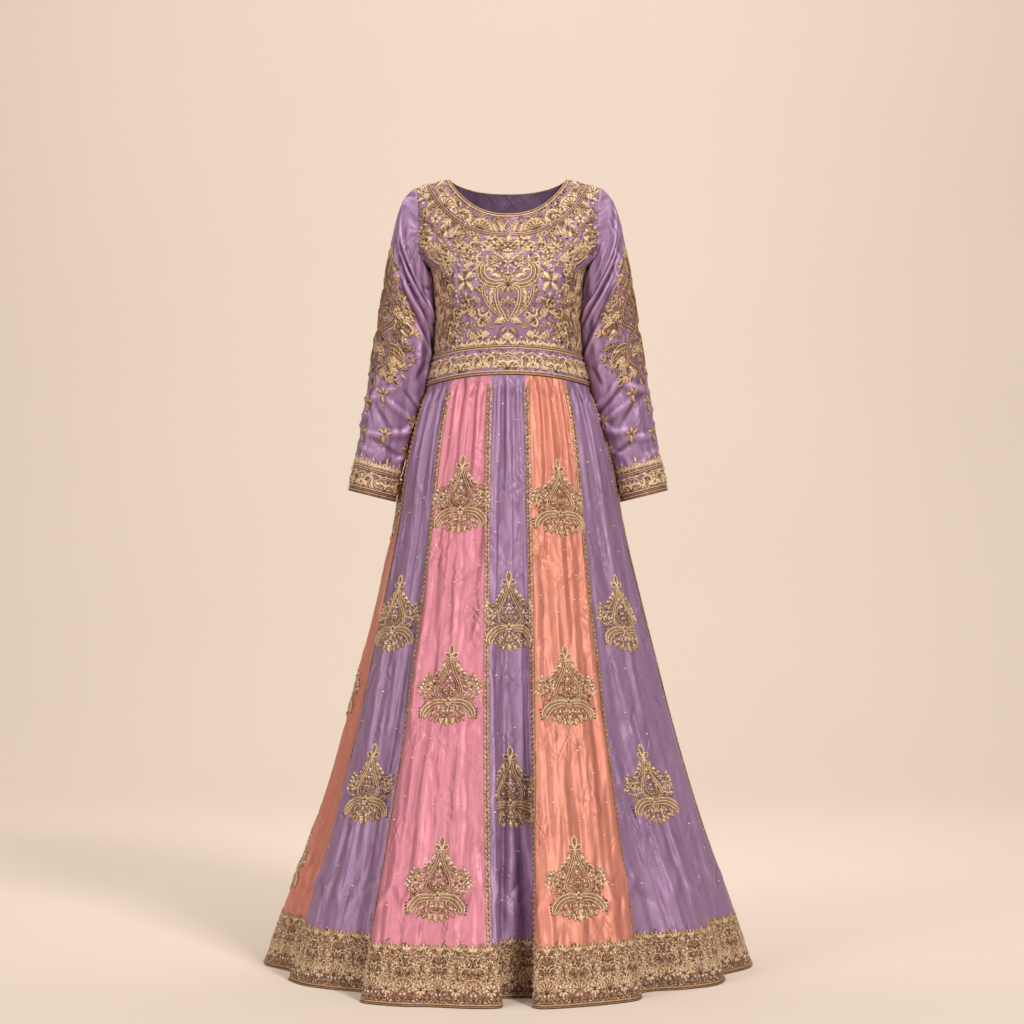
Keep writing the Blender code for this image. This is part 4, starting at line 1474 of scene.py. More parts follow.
@dataclass(frozen=True)
class SilkFinish:
    """Raw silk with slubs, crumples and a soft sheen, painted shade in its fold hollows and painted highlight
    on its ridges, and couched gold as dense as its worked numbers say, with painted shade in the gaps between
    the knots.
    """

    name: str
    colour: Colour
    roughness: float = 0.50
    sheen: float = 0.05
    crumple: float = 0.0060
    lustre: float = 0.30  # the share of light that it gives back in its own colour
    depth: float = 0.50  # painted shade in fold hollows and painted highlight on ridges: how far hollows are darker than the cloth, and ridges lighter
    knots: float = 300.0  # couched knots in a metre

    def made(self) -> bpy.types.Material:
        """The material."""
        bench = NodeBench(self.name)
        slub = bench.cloth_noise(0.034, 0.0016)
        wander = bench.cloth_noise(0.09, 0.22)
        warp = bench.cloth_noise(0.0030, 0.080, 1.0)
        silk = bench.ramp(slub, [(0.25, shaded(self.colour, 0.95)), (0.75, shaded(self.colour, 1.05))])
        drift = bench.ramp(wander, [(0.3, (0.86, 0.85, 0.86)), (0.7, (1.0, 1.0, 1.0))])
        silk = bench.mixed(1.0, silk, drift, "MULTIPLY")
        # Painted shade in fold hollows, darker and more saturated, and painted highlight on ridges.
        painted_fold_shade = bench.own("painted_fold_shade")
        painted_shade_colour = [0.32 * part * (part / max(self.colour)) ** 0.5 for part in self.colour]
        for depth, colour in ((self.depth, painted_shade_colour), (-self.depth, shaded(self.colour, 1.45))):
            silk = bench.mixed(bench.maths("MULTIPLY", painted_fold_shade, depth), silk, (*colour, 1.0))
        normal = bench.bump(bench.cloth_noise(0.030, 0.520, 1.0), self.crumple * 3.4, 1.0)
        normal = bench.bump(bench.cloth_noise(0.024, 0.110, 2.0), self.crumple * 0.6, 1.0, normal)
        for across, along, turn in FOLD_LEANS:
            normal = bench.bump(bench.folds(across, along, turn), self.crumple * 1.4, 1.0, normal)
        normal = bench.bump(slub, 0.00030, 0.5, normal)
        normal = bench.bump(warp, 0.00016, 0.4, normal)
        colour, normal, metal = self.couched(bench, silk, normal)
        tint = (*shaded(self.colour, 1.8), 1.0)
        sheen = {"Sheen Weight": self.sheen, "Sheen Roughness": 0.35, "Sheen Tint": tint}
        looks = {"Base Color": colour, "Metallic": metal, "Roughness": self.roughness, "Normal": normal}
        return bench.finished({**looks, **sheen, "Specular IOR Level": 0.55})

    def couched(self, bench: NodeBench, silk: Socket, normal: Socket) -> tuple[Socket, Socket, Socket]:
        """Couched gold knots over the silk, with painted shade in the gaps between them, standing partly for
        a dark ground.

        Args:
            bench: the material's nodes.
            silk: the silk's colour.
            normal: the silk's normal.

        Returns:
            The colour, the normal and the share of metal.
        """
        dense = bench.own("worked")
        scattered = {"Vector": bench.map_of("cloth"), "Scale": self.knots}
        knots = bench.add("ShaderNodeTexVoronoi", scattered, voronoi_dimensions="2D")
        away = knots.outputs["Distance"]
        random = bench.add("ShaderNodeSeparateColor", {"Color": knots.outputs["Color"]}).outputs
        here = bench.maths("LESS_THAN", random["Red"], dense)
        knot = bench.maths("MULTIPLY", here, bench.maths("LESS_THAN", away, 0.50))
        stops = [(0.0, (0.12, 0.055, 0.025)), (0.45, (0.38, 0.21, 0.10)), (1.0, (0.78, 0.56, 0.34))]
        gold = bench.ramp(random["Green"], stops)
        # Painted shade in the gaps between knots, standing partly for the dark ground; darker where the work
        # is denser.
        dark = bench.maths("MULTIPLY", bench.maths("POWER", dense, 2.0), 0.72)
        gap = bench.mixed(dark, silk, (0.20, 0.085, 0.050, 1.0))
        colour = bench.mixed(knot, gap, gold)
        round_top = bench.maths("MULTIPLY", bench.maths("SUBTRACT", 0.6, away), here)
        raised = bench.bump(round_top, 0.0026, 1.0, normal)
        metal = bench.maths("MAXIMUM", bench.maths("MULTIPLY", knot, 0.35), self.lustre)
        return colour, raised, metal


@dataclass(frozen=True)
class ThreadFinish:
    """Metal thread whose tone comes from each stitch, with painted shade along a stitch's edges that also
    reads as a dark outline.
    """

    name: str
    dark: Colour
    middle: Colour
    light: Colour
    metallic: float = 0.22
    roughness: float = 0.42
    twist: float = 0.34
    edge: float = 0.75  # painted shade along a stitch's edges, which also reads as a dark outline: how much darker a stitch is there

    def made(self) -> bpy.types.Material:
        """The material."""
        bench = NodeBench(self.name)
        tone, weave = bench.own("tone"), bench.map_of("weave")
        across = bench.add("ShaderNodeSeparateXYZ", {"Vector": weave}).outputs["Y"]
        # Painted shade along each stitch's edges, which also reads as a dark outline.
        edge = bench.maths("MULTIPLY", bench.maths("ABSOLUTE", across), self.edge)
        wear = bench.maths("SUBTRACT", bench.cloud(400.0, 2.0), 0.5)
        level = bench.maths("ADD", bench.maths("SUBTRACT", tone, edge), wear)
        colour = bench.ramp(level, [(0.0, self.dark), (0.5, self.middle), (1.0, self.light)])
        turns = {"Vector": weave, "Scale": self.twist, "Distortion": 0.4}
        thread = bench.add("ShaderNodeTexWave", turns, bands_direction="DIAGONAL")
        normal = bench.bump(thread.outputs["Fac"], 0.0004, 0.6)
        looks = {"Base Color": colour, "Metallic": self.metallic, "Roughness": self.roughness}
        return bench.finished({**looks, "Normal": normal})


@dataclass(frozen=True)
class BeadFinish:
    """Glass, pearl or stone, with a faint cloud in it."""

    name: str
    low: Colour
    high: Colour
    roughness: float = 0.18
    coat: float = 0.5

    def made(self) -> bpy.types.Material:
        """The material."""
        bench = NodeBench(self.name)
        colour = bench.ramp(bench.cloud(320.0, 1.0), [(0.3, self.low), (0.7, self.high)])
        return bench.finished({"Base Color": colour, "Roughness": self.roughness, "Coat Weight": self.coat})


@dataclass(frozen=True)
class BackdropFinish:
    """Painted paper in a warm pale colour."""

    name: str
    colour: Colour

    def made(self) -> bpy.types.Material:
        """The material."""
        bench = NodeBench(self.name)
        stops = [(0.3, shaded(self.colour, 0.98)), (0.7, shaded(self.colour, 1.01))]
        return bench.finished({"Base Color": bench.ramp(bench.cloud(0.5, 3.0), stops), "Roughness": 0.95})


LILAC: Colour = (0.4, 0.235, 0.404)
ROSE: Colour = (0.76, 0.27, 0.35)
CORAL: Colour = (0.78, 0.29, 0.205)

# depth sets each silk's painted shade in fold hollows and painted highlight on ridges.
SILKS = {
    Dye.LILAC: SilkFinish("lilac raw silk", LILAC),
    Dye.ROSE: SilkFinish("rose raw silk", ROSE),
    Dye.CORAL: SilkFinish("coral raw silk", CORAL, depth=0.38),
}

THREADS = {
    Thread.GOLD: ThreadFinish(
        "antique gold thread", (0.095, 0.038, 0.016), (0.55, 0.31, 0.145), (1, 0.81, 0.57)
    ),
    Thread.ZARI: ThreadFinish(
        "bright zari", (0.36, 0.19, 0.085), (0.8, 0.57, 0.33), (1, 0.88, 0.67), 0.3, 0.3
    ),
    Thread.PEARL: BeadFinish("cream pearl", (0.74, 0.62, 0.48), (0.92, 0.84, 0.74)),
    Thread.STONE: BeadFinish("smoky stone", (0.050, 0.018, 0.009), (0.16, 0.065, 0.030), 0.30, 0.3),
}


@lru_cache(maxsize=None)
def silk_of(dye: Dye) -> bpy.types.Material:
    """A silk, made once."""
    return SILKS[dye].made()


@lru_cache(maxsize=None)
def threads() -> tuple[bpy.types.Material, ...]:
    """The materials of needlework, in the order of their threads, made once."""
    return tuple(THREADS[thread].made() for thread in Thread)


# ---- Meshes ----


def linked(name: str, data: bpy.types.ID) -> bpy.types.Object:
    """An object for a mesh, a light or a camera, in the scene."""
    thing = bpy.data.objects.new(name, data)
    bpy.context.scene.collection.objects.link(thing)
    return thing


def mesh_piece(
    name: str,
    points: Array,
    faces: Array,
    map_name: str,
    places: Array,
    materials: Sequence[bpy.types.Material],
    kinds: Array,
    values: dict[str, Array],
) -> bpy.types.Object:
    """An object in its place, with its mesh taken from joined arrays.

    Args:
        name: the object's name.
        points: the mesh's points, one in each row.
        faces: each face's points, all with as many corners.
        map_name: the name of the map that the finishes read.
        places: each point's place in that map.
        materials: the mesh's materials.
        kinds: each face's material.
        values: each point's own numbers for the finishes, by name.

    Returns:
        The object, linked to the scene.
    """
    mesh = bpy.data.meshes.new(name)
    mesh.vertices.add(len(points))
    mesh.vertices.foreach_set("co", points.astype(np.float32).ravel())
    mesh.loops.add(faces.size)
    mesh.loops.foreach_set("vertex_index", faces.astype(np.int32).ravel())
    mesh.polygons.add(len(faces))
    mesh.polygons.foreach_set("loop_start", np.arange(len(faces), dtype=np.int32) * faces.shape[1])
    for material in materials:
        mesh.materials.append(material)
    mesh.polygons.foreach_set("material_index", kinds.astype(np.int32))
    mesh.update(calc_edges=True)
    layer = mesh.uv_layers.new(name=map_name)
    layer.data.foreach_set("uv", places[faces.ravel()].astype(np.float32).ravel())
    for key, numbers in values.items():
        mesh.attributes.new(key, "FLOAT", "POINT").data.foreach_set("value", numbers.astype(np.float32))
    mesh.shade_smooth()
    return linked(name, mesh)


def fitted(piece: bpy.types.Object, slot: str, *nodes: str) -> bpy.types.Object:
    """Attaches a piece to the root body, hides the solids that it stands for and logs its faces."""
    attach(piece, ROOT)
    if nodes:
        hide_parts(*nodes)
    log.info("%s: %d faces", piece.name, len(piece.data.polygons))
    return piece


@dataclass(frozen=True)
class Cut:
    """A sheet's flat size before it was sewn, and its area where the cut isn't a rectangle."""

    width: float
    length: float
    area: float
    held: Held = Held.STRETCHED

    def declare(self, piece: bpy.types.Object, hangs_from: Sequence[str], work: Sequence[object]) -> None:
        """Logs the sheet's area beside the area of its cut."""
        area = sum(face.area for face in piece.data.polygons)
        log.info("%s: %.4f square metres, cut %.4f", piece.name, area, self.area)


def shell(
    name: str, chart: Chart, u: Array, v: Array, lift: float, dye: Dye, worked: Array, *nodes: str
) -> bpy.types.Object:
    """A sheet of silk over a chart.

    Args:
        name: the piece's name.
        chart: the form that it follows, with its creases.
        u: places to the right, a column of the grid in each row.
        v: places up, likewise.
        lift: how far it lies off the form.
        dye: its colour.
        worked: how densely gold covers each place, from 0 to 1.
        nodes: the solids that it stands for.

    Returns:
        The sheet.
    """
    flat = u.ravel(), v.ravel()
    points = chart.laid(*flat, np.full(u.size, lift))
    # Each place's fold hollowness, which the silk turns into painted shade in troughs and painted highlight
    # on ridges.
    values = {"worked": worked.ravel(), "painted_fold_shade": chart.painted_fold_shade(*flat)}
    faces = grid_faces(*u.shape)
    kinds = np.zeros(len(faces))
    piece = mesh_piece(name, points, faces, "cloth", np.column_stack(flat), [silk_of(dye)], kinds, values)
    return fitted(piece, dye.value, *nodes)


def grid(us: Array, vs: Array) -> tuple[Array, Array]:
    """All pairs of two rows of places, a column of the grid in each row."""
    return np.meshgrid(us, vs, indexing="ij")


WORK_LIFT = 0.0002


@dataclass
class WorkedPiece:
    """Needlework that lies on charts and becomes one joined piece."""

    name: str
    lift: float = WORK_LIFT
    laid: list[Array] = field(default_factory=list)
    works: list[Needlework] = field(default_factory=list)

    def sew(self, chart: Chart, *works: Needlework) -> None:
        """Lays needlework on a chart."""
        work = Needlework.together(works)
        if not len(work.points):
            return
        flat = work.points * MM
        self.laid.append(chart.laid(flat[:, 0], flat[:, 1], flat[:, 2] + self.lift))
        self.works.append(work)

    def made(self, *nodes: str) -> bpy.types.Object:
        """The joined piece, which may stand for solids."""
        work, points = Needlework.together(self.works), np.concatenate(self.laid)
        looks = "weave", work.weave, threads(), work.thread, {"tone": work.tone}
        return fitted(mesh_piece(self.name, points, work.faces, *looks), "gold_work", *nodes)


# ---- Compositions of needlework ----


class Place(NamedTuple):
    """An element of a composition: which one, where its foot goes, its turn to the right and its size."""

    element: str
    x: float
    y: float
    turn: float = 0.0
    size: float = 1.0


class Line(NamedTuple):
    """A cord of a composition, double where it has a gap."""

    path: Path
    width: float = 2.4
    tone: float = 0.85
    gap: float = 0.0


class Wing(NamedTuple):
    """A band of ribs between two edges that meet at its ends."""

    upper: Path
    lower: Path
    width: float = 2.6


class Vine(NamedTuple):
    """A cord with leaves at both sides."""

    path: Path
    leaf: float = 12.0
    every: float = 8.0
    width: float = 2.4


class Thicket(NamedTuple):
    """Elements crowded inside an outline, none nearer to another than the spacing."""

    outline: Path
    spacing: float
    names: tuple[str, ...]
    turn: float = 0.0
    spread: float = 50.0
    size: float = 1.0


def cross_flower() -> Needlework:
    """Four broad petals with narrow ones between them."""
    petal = Leaf(15, 7.4, rise=1.7, tone=0.95, fullest=1.15).drawn()
    small = Leaf(9, 2.8, tone=0.3).drawn()
    return Needlework.together([ring_of(petal, 4, 1.6, 45), ring_of(small, 4, 3), STONE.at((0, 0))])


def trio() -> Needlework:
    """Three leaves that fan out from a knot."""
    leaf = Leaf(12, 5.0, rise=1.5, tone=0.95).drawn()
    return Needlework.together([fan_of(leaf, 3, 1.2, 44), Bead(1.8, 1.6, 0.6, sides=6).at((0, 0))])


def hook() -> Needlework:
    """A broad cord that curls over, with a rib of dark thread inside it."""
    line = [(0, 0), (2, 9), (8, 15.5), (16, 15), (19, 8), (14, 4)]
    inner = [(3, 3), (5.5, 9), (10, 12), (14, 11)]
    return Needlework.together(
        [Cord(4.4, 2.0, 1.0, taper=0.3).along(line), Cord(1.6, 1.0, 0.2).along(inner), PEARL.at((13, 6))]
    )


def comb() -> Needlework:
    """Leaves in a row on the outer side of a bowed cord."""
    parts = [Cord(2.4, 1.4, 1.0, taper=0.2).along([(0, 0), (5, 7), (13, 12), (23, 13)])]
    for x, y, turn, size in ((1, 4, -30, 0.8), (5, 9, -18, 0.95), (11, 12.5, -4, 1.0), (17, 14, 12, 0.9)):
        parts.append(Leaf(11, 4.8, 18, 1.5, 0.9).drawn().placed(x, y, turn, size))
    return Needlework.together(parts)


ELEMENTS: dict[str, Callable[[], Needlework]] = {
    "leaf": Leaf(12, 4.8, bend=26, rise=1.3, tone=0.8).drawn,
    "right leaf": Leaf(12, 4.8, bend=-26, rise=1.3, tone=0.68).drawn,
    "dark leaf": Leaf(9.5, 4.0, bend=20, tone=0.4).drawn,
    "broad leaf": Leaf(16, 7.0, bend=24, rise=1.6, tone=0.85, stations=5).drawn,
    "stroke": Leaf(19, 4.6, bend=16, rise=1.5, tone=0.72, fullest=0.9, stations=5).drawn,
    "dark stroke": Leaf(16, 3.6, bend=-12, rise=1.1, tone=0.25).drawn,
    "star": Rosette(9.5, 5, 0.85).drawn,
    "trio": trio,
    "hook": hook,
    "comb": comb,
    "bud": Leaf(9, 5.6, rise=1.6, tone=0.85, fullest=1.1).drawn,
    "rosette": Rosette(10, 8, 0.75).drawn,
    "daisy": Rosette(5.0, 6, 0.8, seeded=False).drawn,
    "shell": Shell(15, 7, tone=0.95).drawn,
    "paisley": Paisley(34, 19, 0.72).drawn,
    "curl": Curl(6.2, width=2.1, tone=0.78).drawn,
    "spray": Spray(26, 3, 10, tone=0.72).drawn,
    "bent spray": Spray(26, 3, 10, bend=34, tone=0.7).drawn,
    "sprig": Spray(11, 2, 7.5, tone=0.75).drawn,
    "trefoil": Trefoil(21).drawn,
    "drop": Drop(24, 0.95).drawn,
    "cross": cross_flower,
    "pearl": lambda: Bead(1.9, 1.6, thread=Thread.PEARL).at((0, 0)),
    "stone": lambda: STONE.at((0, 0)),
    "knot": Bead(1.7, 1.5, 0.7, sides=6).at((0, 0)).placed,
}


@lru_cache(maxsize=None)
def element(name: str) -> Needlework:
    """An element, drawn once."""
    return ELEMENTS[name]()


RIB_TONES = (0.95, 0.55, 0.95, 0.5, 0.85)


def ribbed(wing: Wing) -> Needlework:
    """A wing's ribs, light and dark in turn."""
    even = np.linspace(0, 1, 14)
    edges = []
    for edge in (wing.upper, wing.lower):
        line = flowing(edge, 4.0)
        own = np.linspace(0, 1, len(line))
        edges.append(np.column_stack([np.interp(even, own, line[:, k]) for k in (0, 1)]))
    ribs = []
    for share, tone in zip(np.linspace(0, 1, 5), RIB_TONES):
        cord = Cord(wing.width, 1.7, tone, taper=0.10)
        ribs.append(cord.along(edges[0] * (1 - share) + edges[1] * share))
    return Needlework.together(ribs)


def grown(vine: Vine) -> Needlework:
    """A vine's cord and leaves, the leaves smaller towards its end."""
    parts = [Cord(vine.width, 1.6, 0.95, taper=0.15).along(vine.path)]
    line = flowing(vine.path, vine.every)
    forward = np.gradient(line, axis=0)
    for i, (place, ahead) in enumerate(zip(line[:-1], forward)):
        lean = math.degrees(math.atan2(*ahead))
        long = vine.leaf * (1.1 - 0.4 * i / len(line))
        for side in (-1, 1):
            tone = 0.35 if (2 * i + side) % 5 == 0 else 0.95
            leaf = Leaf(long, long * 0.42, -26 * side, 1.4, tone)
            parts.append(leaf.drawn().placed(place[0], place[1], lean + 48 * side))
    tip = math.degrees(math.atan2(*forward[-1]))
    parts.append(element("bud").placed(*line[-1], tip, vine.leaf / 11))
    return Needlework.together(parts)


def crowded(thicket: Thicket, seed: int) -> list[Place]:
    """The places of a thicket's elements."""
    draw = np.random.default_rng(seed)
    outline = np.asarray(thicket.outline, float)
    low, high = outline.min(0), outline.max(0)
    tries = int(12 * np.prod(high - low) / thicket.spacing**2)
    spots = draw.uniform(low, high, (tries, 2))
    spots = spots[inside(outline, spots)]
    kept: list[Place] = []
    for x, y in spots:
        if all(math.hypot(x - k.x, y - k.y) > thicket.spacing for k in kept):
            turn = draw.normal(thicket.turn, thicket.spread)
            name = thicket.names[len(kept) % len(thicket.names)]
            kept.append(Place(name, x, y, turn, thicket.size * draw.uniform(0.85, 1.2)))
    return kept


@dataclass(frozen=True)
class Composition:
    """Cords, wings, vines, thickets and single elements; what is half is mirrored about x = 0."""

    lines: tuple[Line, ...] = ()
    wings: tuple[Wing, ...] = ()
    vines: tuple[Vine, ...] = ()
    thickets: tuple[Thicket, ...] = ()
    half: tuple[Place, ...] = ()
    middle: tuple[Place, ...] = ()

    def drawn(self, seed: int = 1, reach: float = 1e9) -> Needlework:
        """The composition.

        Args:
            seed: starts the thickets' scatter.
            reach: how far from x = 0 an element may stand.

        Returns:
            Its needlework.
        """
        half = [ribbed(wing) for wing in self.wings]
        for line in self.lines:
            cord = Cord(line.width, 1.7, line.tone)
            half.append(cord.pair(line.path, line.gap) if line.gap else cord.along(line.path))
        half += [grown(vine) for vine in self.vines]
        for i, thicket in enumerate(self.thickets):
            half += [self.set(place) for place in crowded(thicket, 50 * seed + i)]
        half += [self.set(place) for place in self.half if abs(place.x) < reach]
        middle = [self.set(place) for place in self.middle]
        return Needlework.together([Needlework.together(half).mirrored(), *middle])

    def set(self, place: Place) -> Needlework:
        """One element in its place; a negative size mirrors it."""
        drawn = element(place.element).placed(place.x, place.y, place.turn, abs(place.size), place.size < 0)
        return drawn.toned(0.26 * math.sin(12.9 * place.x + 7.7 * place.y))


def row_of(
    name: str,
    start: tuple[float, float],
    step: tuple[float, float],
    turns: Sequence[float],
    size: float = 1.0,
) -> tuple[Place, ...]:
    """The same element several times along a line, with its own turn each time."""
    spots = np.array(start) + np.outer(range(len(turns)), step)
    return tuple(Place(name, x, y, turn, size) for (x, y), turn in zip(spots, turns))


def places(**spots: tuple[tuple[float, ...], ...]) -> tuple[Place, ...]:
    """Elements in their places, by name: x and y, then the turn and the size where they matter."""
    return tuple(Place(name.replace("_", " "), *row) for name, rows in spots.items() for row in rows)


# What thickets are made of.
WEED = ("leaf", "star", "right leaf", "pearl", "curl", "leaf", "bud")
BROAD_WEED = ("broad leaf", "leaf", "right leaf", "star", "leaf", "dark leaf", "curl")
FINE_WEED = ("leaf", "right leaf", "bud", "pearl")

# A trefoil over crossed cords, with a cluster of beads at each side and drops below: 148 high, 108 wide.
SKIRT_MOTIF = Composition(
    lines=(
        Line([(1, 46), (4, 36), (10, 20), (18, 4), (23, -8), (23, -17), (15, -24), (4, -28)],
            1.6, 0.78, 3.6),
        Line([(3, 30), (8, 15), (13, 1), (15, -10), (10, -18), (3, -22)], 1.2, 0.6),
        Line([(9, 34), (17, 23), (25, 14), (35, 11), (42, 15)], 1.6, 0.7),
        Line([(52, -16), (44, -24), (34, -22), (27, -26)], 1.6, 0.7),
        Line([(0, 40), (1.5, 52)], 2, 0.9),
    ),
    wings=(
        Wing([(4, -27), (16, -26), (32, -29), (43, -37), (50, -48), (50, -61)], [(7, -36), (18, -37),
            (28, -40), (35, -46), (40, -53), (42, -61)], 2.2),
    ),
    thickets=(
        Thicket([(14, 26), (28, 15), (46, 17), (55, 2), (53, -18), (38, -25), (27, -18), (25, 2)],
            5, ("pearl", "leaf", "pearl", "bud", "leaf", "knot", "right leaf"), 20, 80, 0.7),
        Thicket([(0, 30), (8, 14), (13, 0), (14, -10), (6, -18), (0, -18)], 4.6, ("knot", "pearl", "leaf"),
            0, 60, 0.6),
        Thicket([(0, -36), (10, -37), (28, -44), (36, -52), (30, -58), (0, -68)],
            5.4, ("bud", "pearl", "leaf", "right leaf"), 170, 34, 0.74),
    ),
    half=places(
        curl=((11, 40, 20, 0.95),), rosette=((41, -3, 0, 0.9), (23, 20, 0, 0.6)),
        leaf=((42, -52, 160, 0.8),), broad_leaf=((5, -38, 150, 0.8), (15, -40, 140, 0.7)),
    ) + row_of("broad leaf", (10, 31), (5.2, -6.2), (10, 24, 40, 70), 0.66)
    + row_of("leaf", (43, 14), (3.2, -5.6), (20, 48, 66, 84, 110), 0.72)
    + row_of("pearl", (45, 17), (2.6, -7.4), (0, 0, 0, 0, 0))
    + row_of("pearl", (14, 36), (6.5, -7.4), (0, 0, 0))
    + row_of("stone", (53.5, -42), (-0.3, -5.6), (0, 0, 0, 0), 1)
    + row_of("bud", (10, -62), (9, 3), (170, 160, 150), 1.15),
    middle=places(
        trefoil=((0, 50, 0, 1.05),), rosette=((0, -14, 0, 0.85),), star=((0, -29, 0, 0.8),),
        bud=((0, -42, 180), (0, -58, 180, 1.9)), pearl=((0, 26), (0, 12)),
    ),
)

# One repeat of the hem's border: shells and flowers over scallops, under clusters of leaves; 68 wide.
BORDER_WIDTH = 68.0
BORDER = Composition(
    lines=(
        Line([(0, 4.4), (17, 4.4), (34, 4.4)], 2.4, 0.75),
        Line([(4, 58), (10, 65), (19, 63), (24, 54), (19, 47), (13, 51)], 2.2, 0.85),
        Line([(33, 78), (26, 72), (17, 75), (12, 84)], 2, 0.8),
        Line([(34, 46), (27, 40), (19, 42)], 1.8, 0.8),
    ),
    thickets=(
        Thicket([(0, 10), (34, 10), (34, 42), (0, 42)],
            6.2, ("leaf", "pearl", "daisy", "right leaf", "knot", "dark leaf"), 0, 90, 0.7),
        Thicket([(0, 42), (34, 42), (34, 88), (0, 88)],
            6.4, ("right leaf", "pearl", "leaf", "daisy", "knot", "leaf"), 0, 80, 0.74),
        Thicket([(0, 84), (34, 84), (34, 93), (0, 93)], 6.4, ("leaf", "right leaf", "trio"), 0, 34, 0.72),
    ),
    half=places(
        daisy=((8.5, 11), (25.5, 11)), stone=((17, 11, 0, 1.2), (10, 55), (6, 86), (28, 30)),
        paisley=((18, 28, 14, 0.8),), curl=((24, 61, 20, -0.9),),
        pearl=((27, 67), (17, 70), (21, 84), (4, 20)), trio=((17, 92, 4, 0.9),),
        bud=((9, 95, -8), (26, 95, 8, 0.9)),
    ),
    middle=places(
        shell=((0, 26, 0, 1.35), (34, 66, 0, 1.2)), rosette=((34, 28, 0, 1.25), (0, 70, 0, 1.35)),
        trio=((0, 90, 0, 1.05), (34, 92, 0, 1.1)),
        stone=((0, 13, 0, 1.3), (34, 13, 0, 1.3), (0, 50, 0, 1.2), (34, 64, 0, 1.1), (0, 27, 0, 1.1)),
        bud=((34, 48, 0, 1.1),),
    ),
)

# The right half of the band round a neckline; y is minus the way out from it.
YOKE = Composition(
    lines=(
        Line([(24, -36), (26, -27), (33, -20), (43, -19), (50, -25), (52, -36)], 2.4, 1),
        Line([(92, -36), (92, -27), (98, -19), (108, -19), (115, -27), (116, -36)], 2.4, 1),
    ),
    thickets=(
        Thicket([(8, -9), (172, -9), (172, -37), (8, -37)],
            6.8, ("leaf", "right leaf", "dark leaf", "daisy"), 0, 80, 0.76),
    ),
    half=places(
        leaf=((8, -36, 8, 1.3), (15, -37, 30, 1.2), (62, -36, -20, 1.2), (122, -36, 10, 1.2)),
        curl=((13, -20, 30, 0.8),), shell=((38, -36, 0, 1.3), (104, -36, 0, 1.3)),
        hook=((56, -34, 6, 1.15), (84, -34, -8, -1.15), (148, -34, 0, 1.15)),
        rosette=((78, -27, 0, 1.05), (134, -25, 0, 1.15), (66, -18, 0, 0.7), (162, -22)),
        paisley=((18, -34, 10, 0.66),), pearl=((22, -24), (46, -22), (70, -20), (90, -22), (118, -20)),
        stone=((38, -34), (104, -34), (66, -30)),
    ),
)

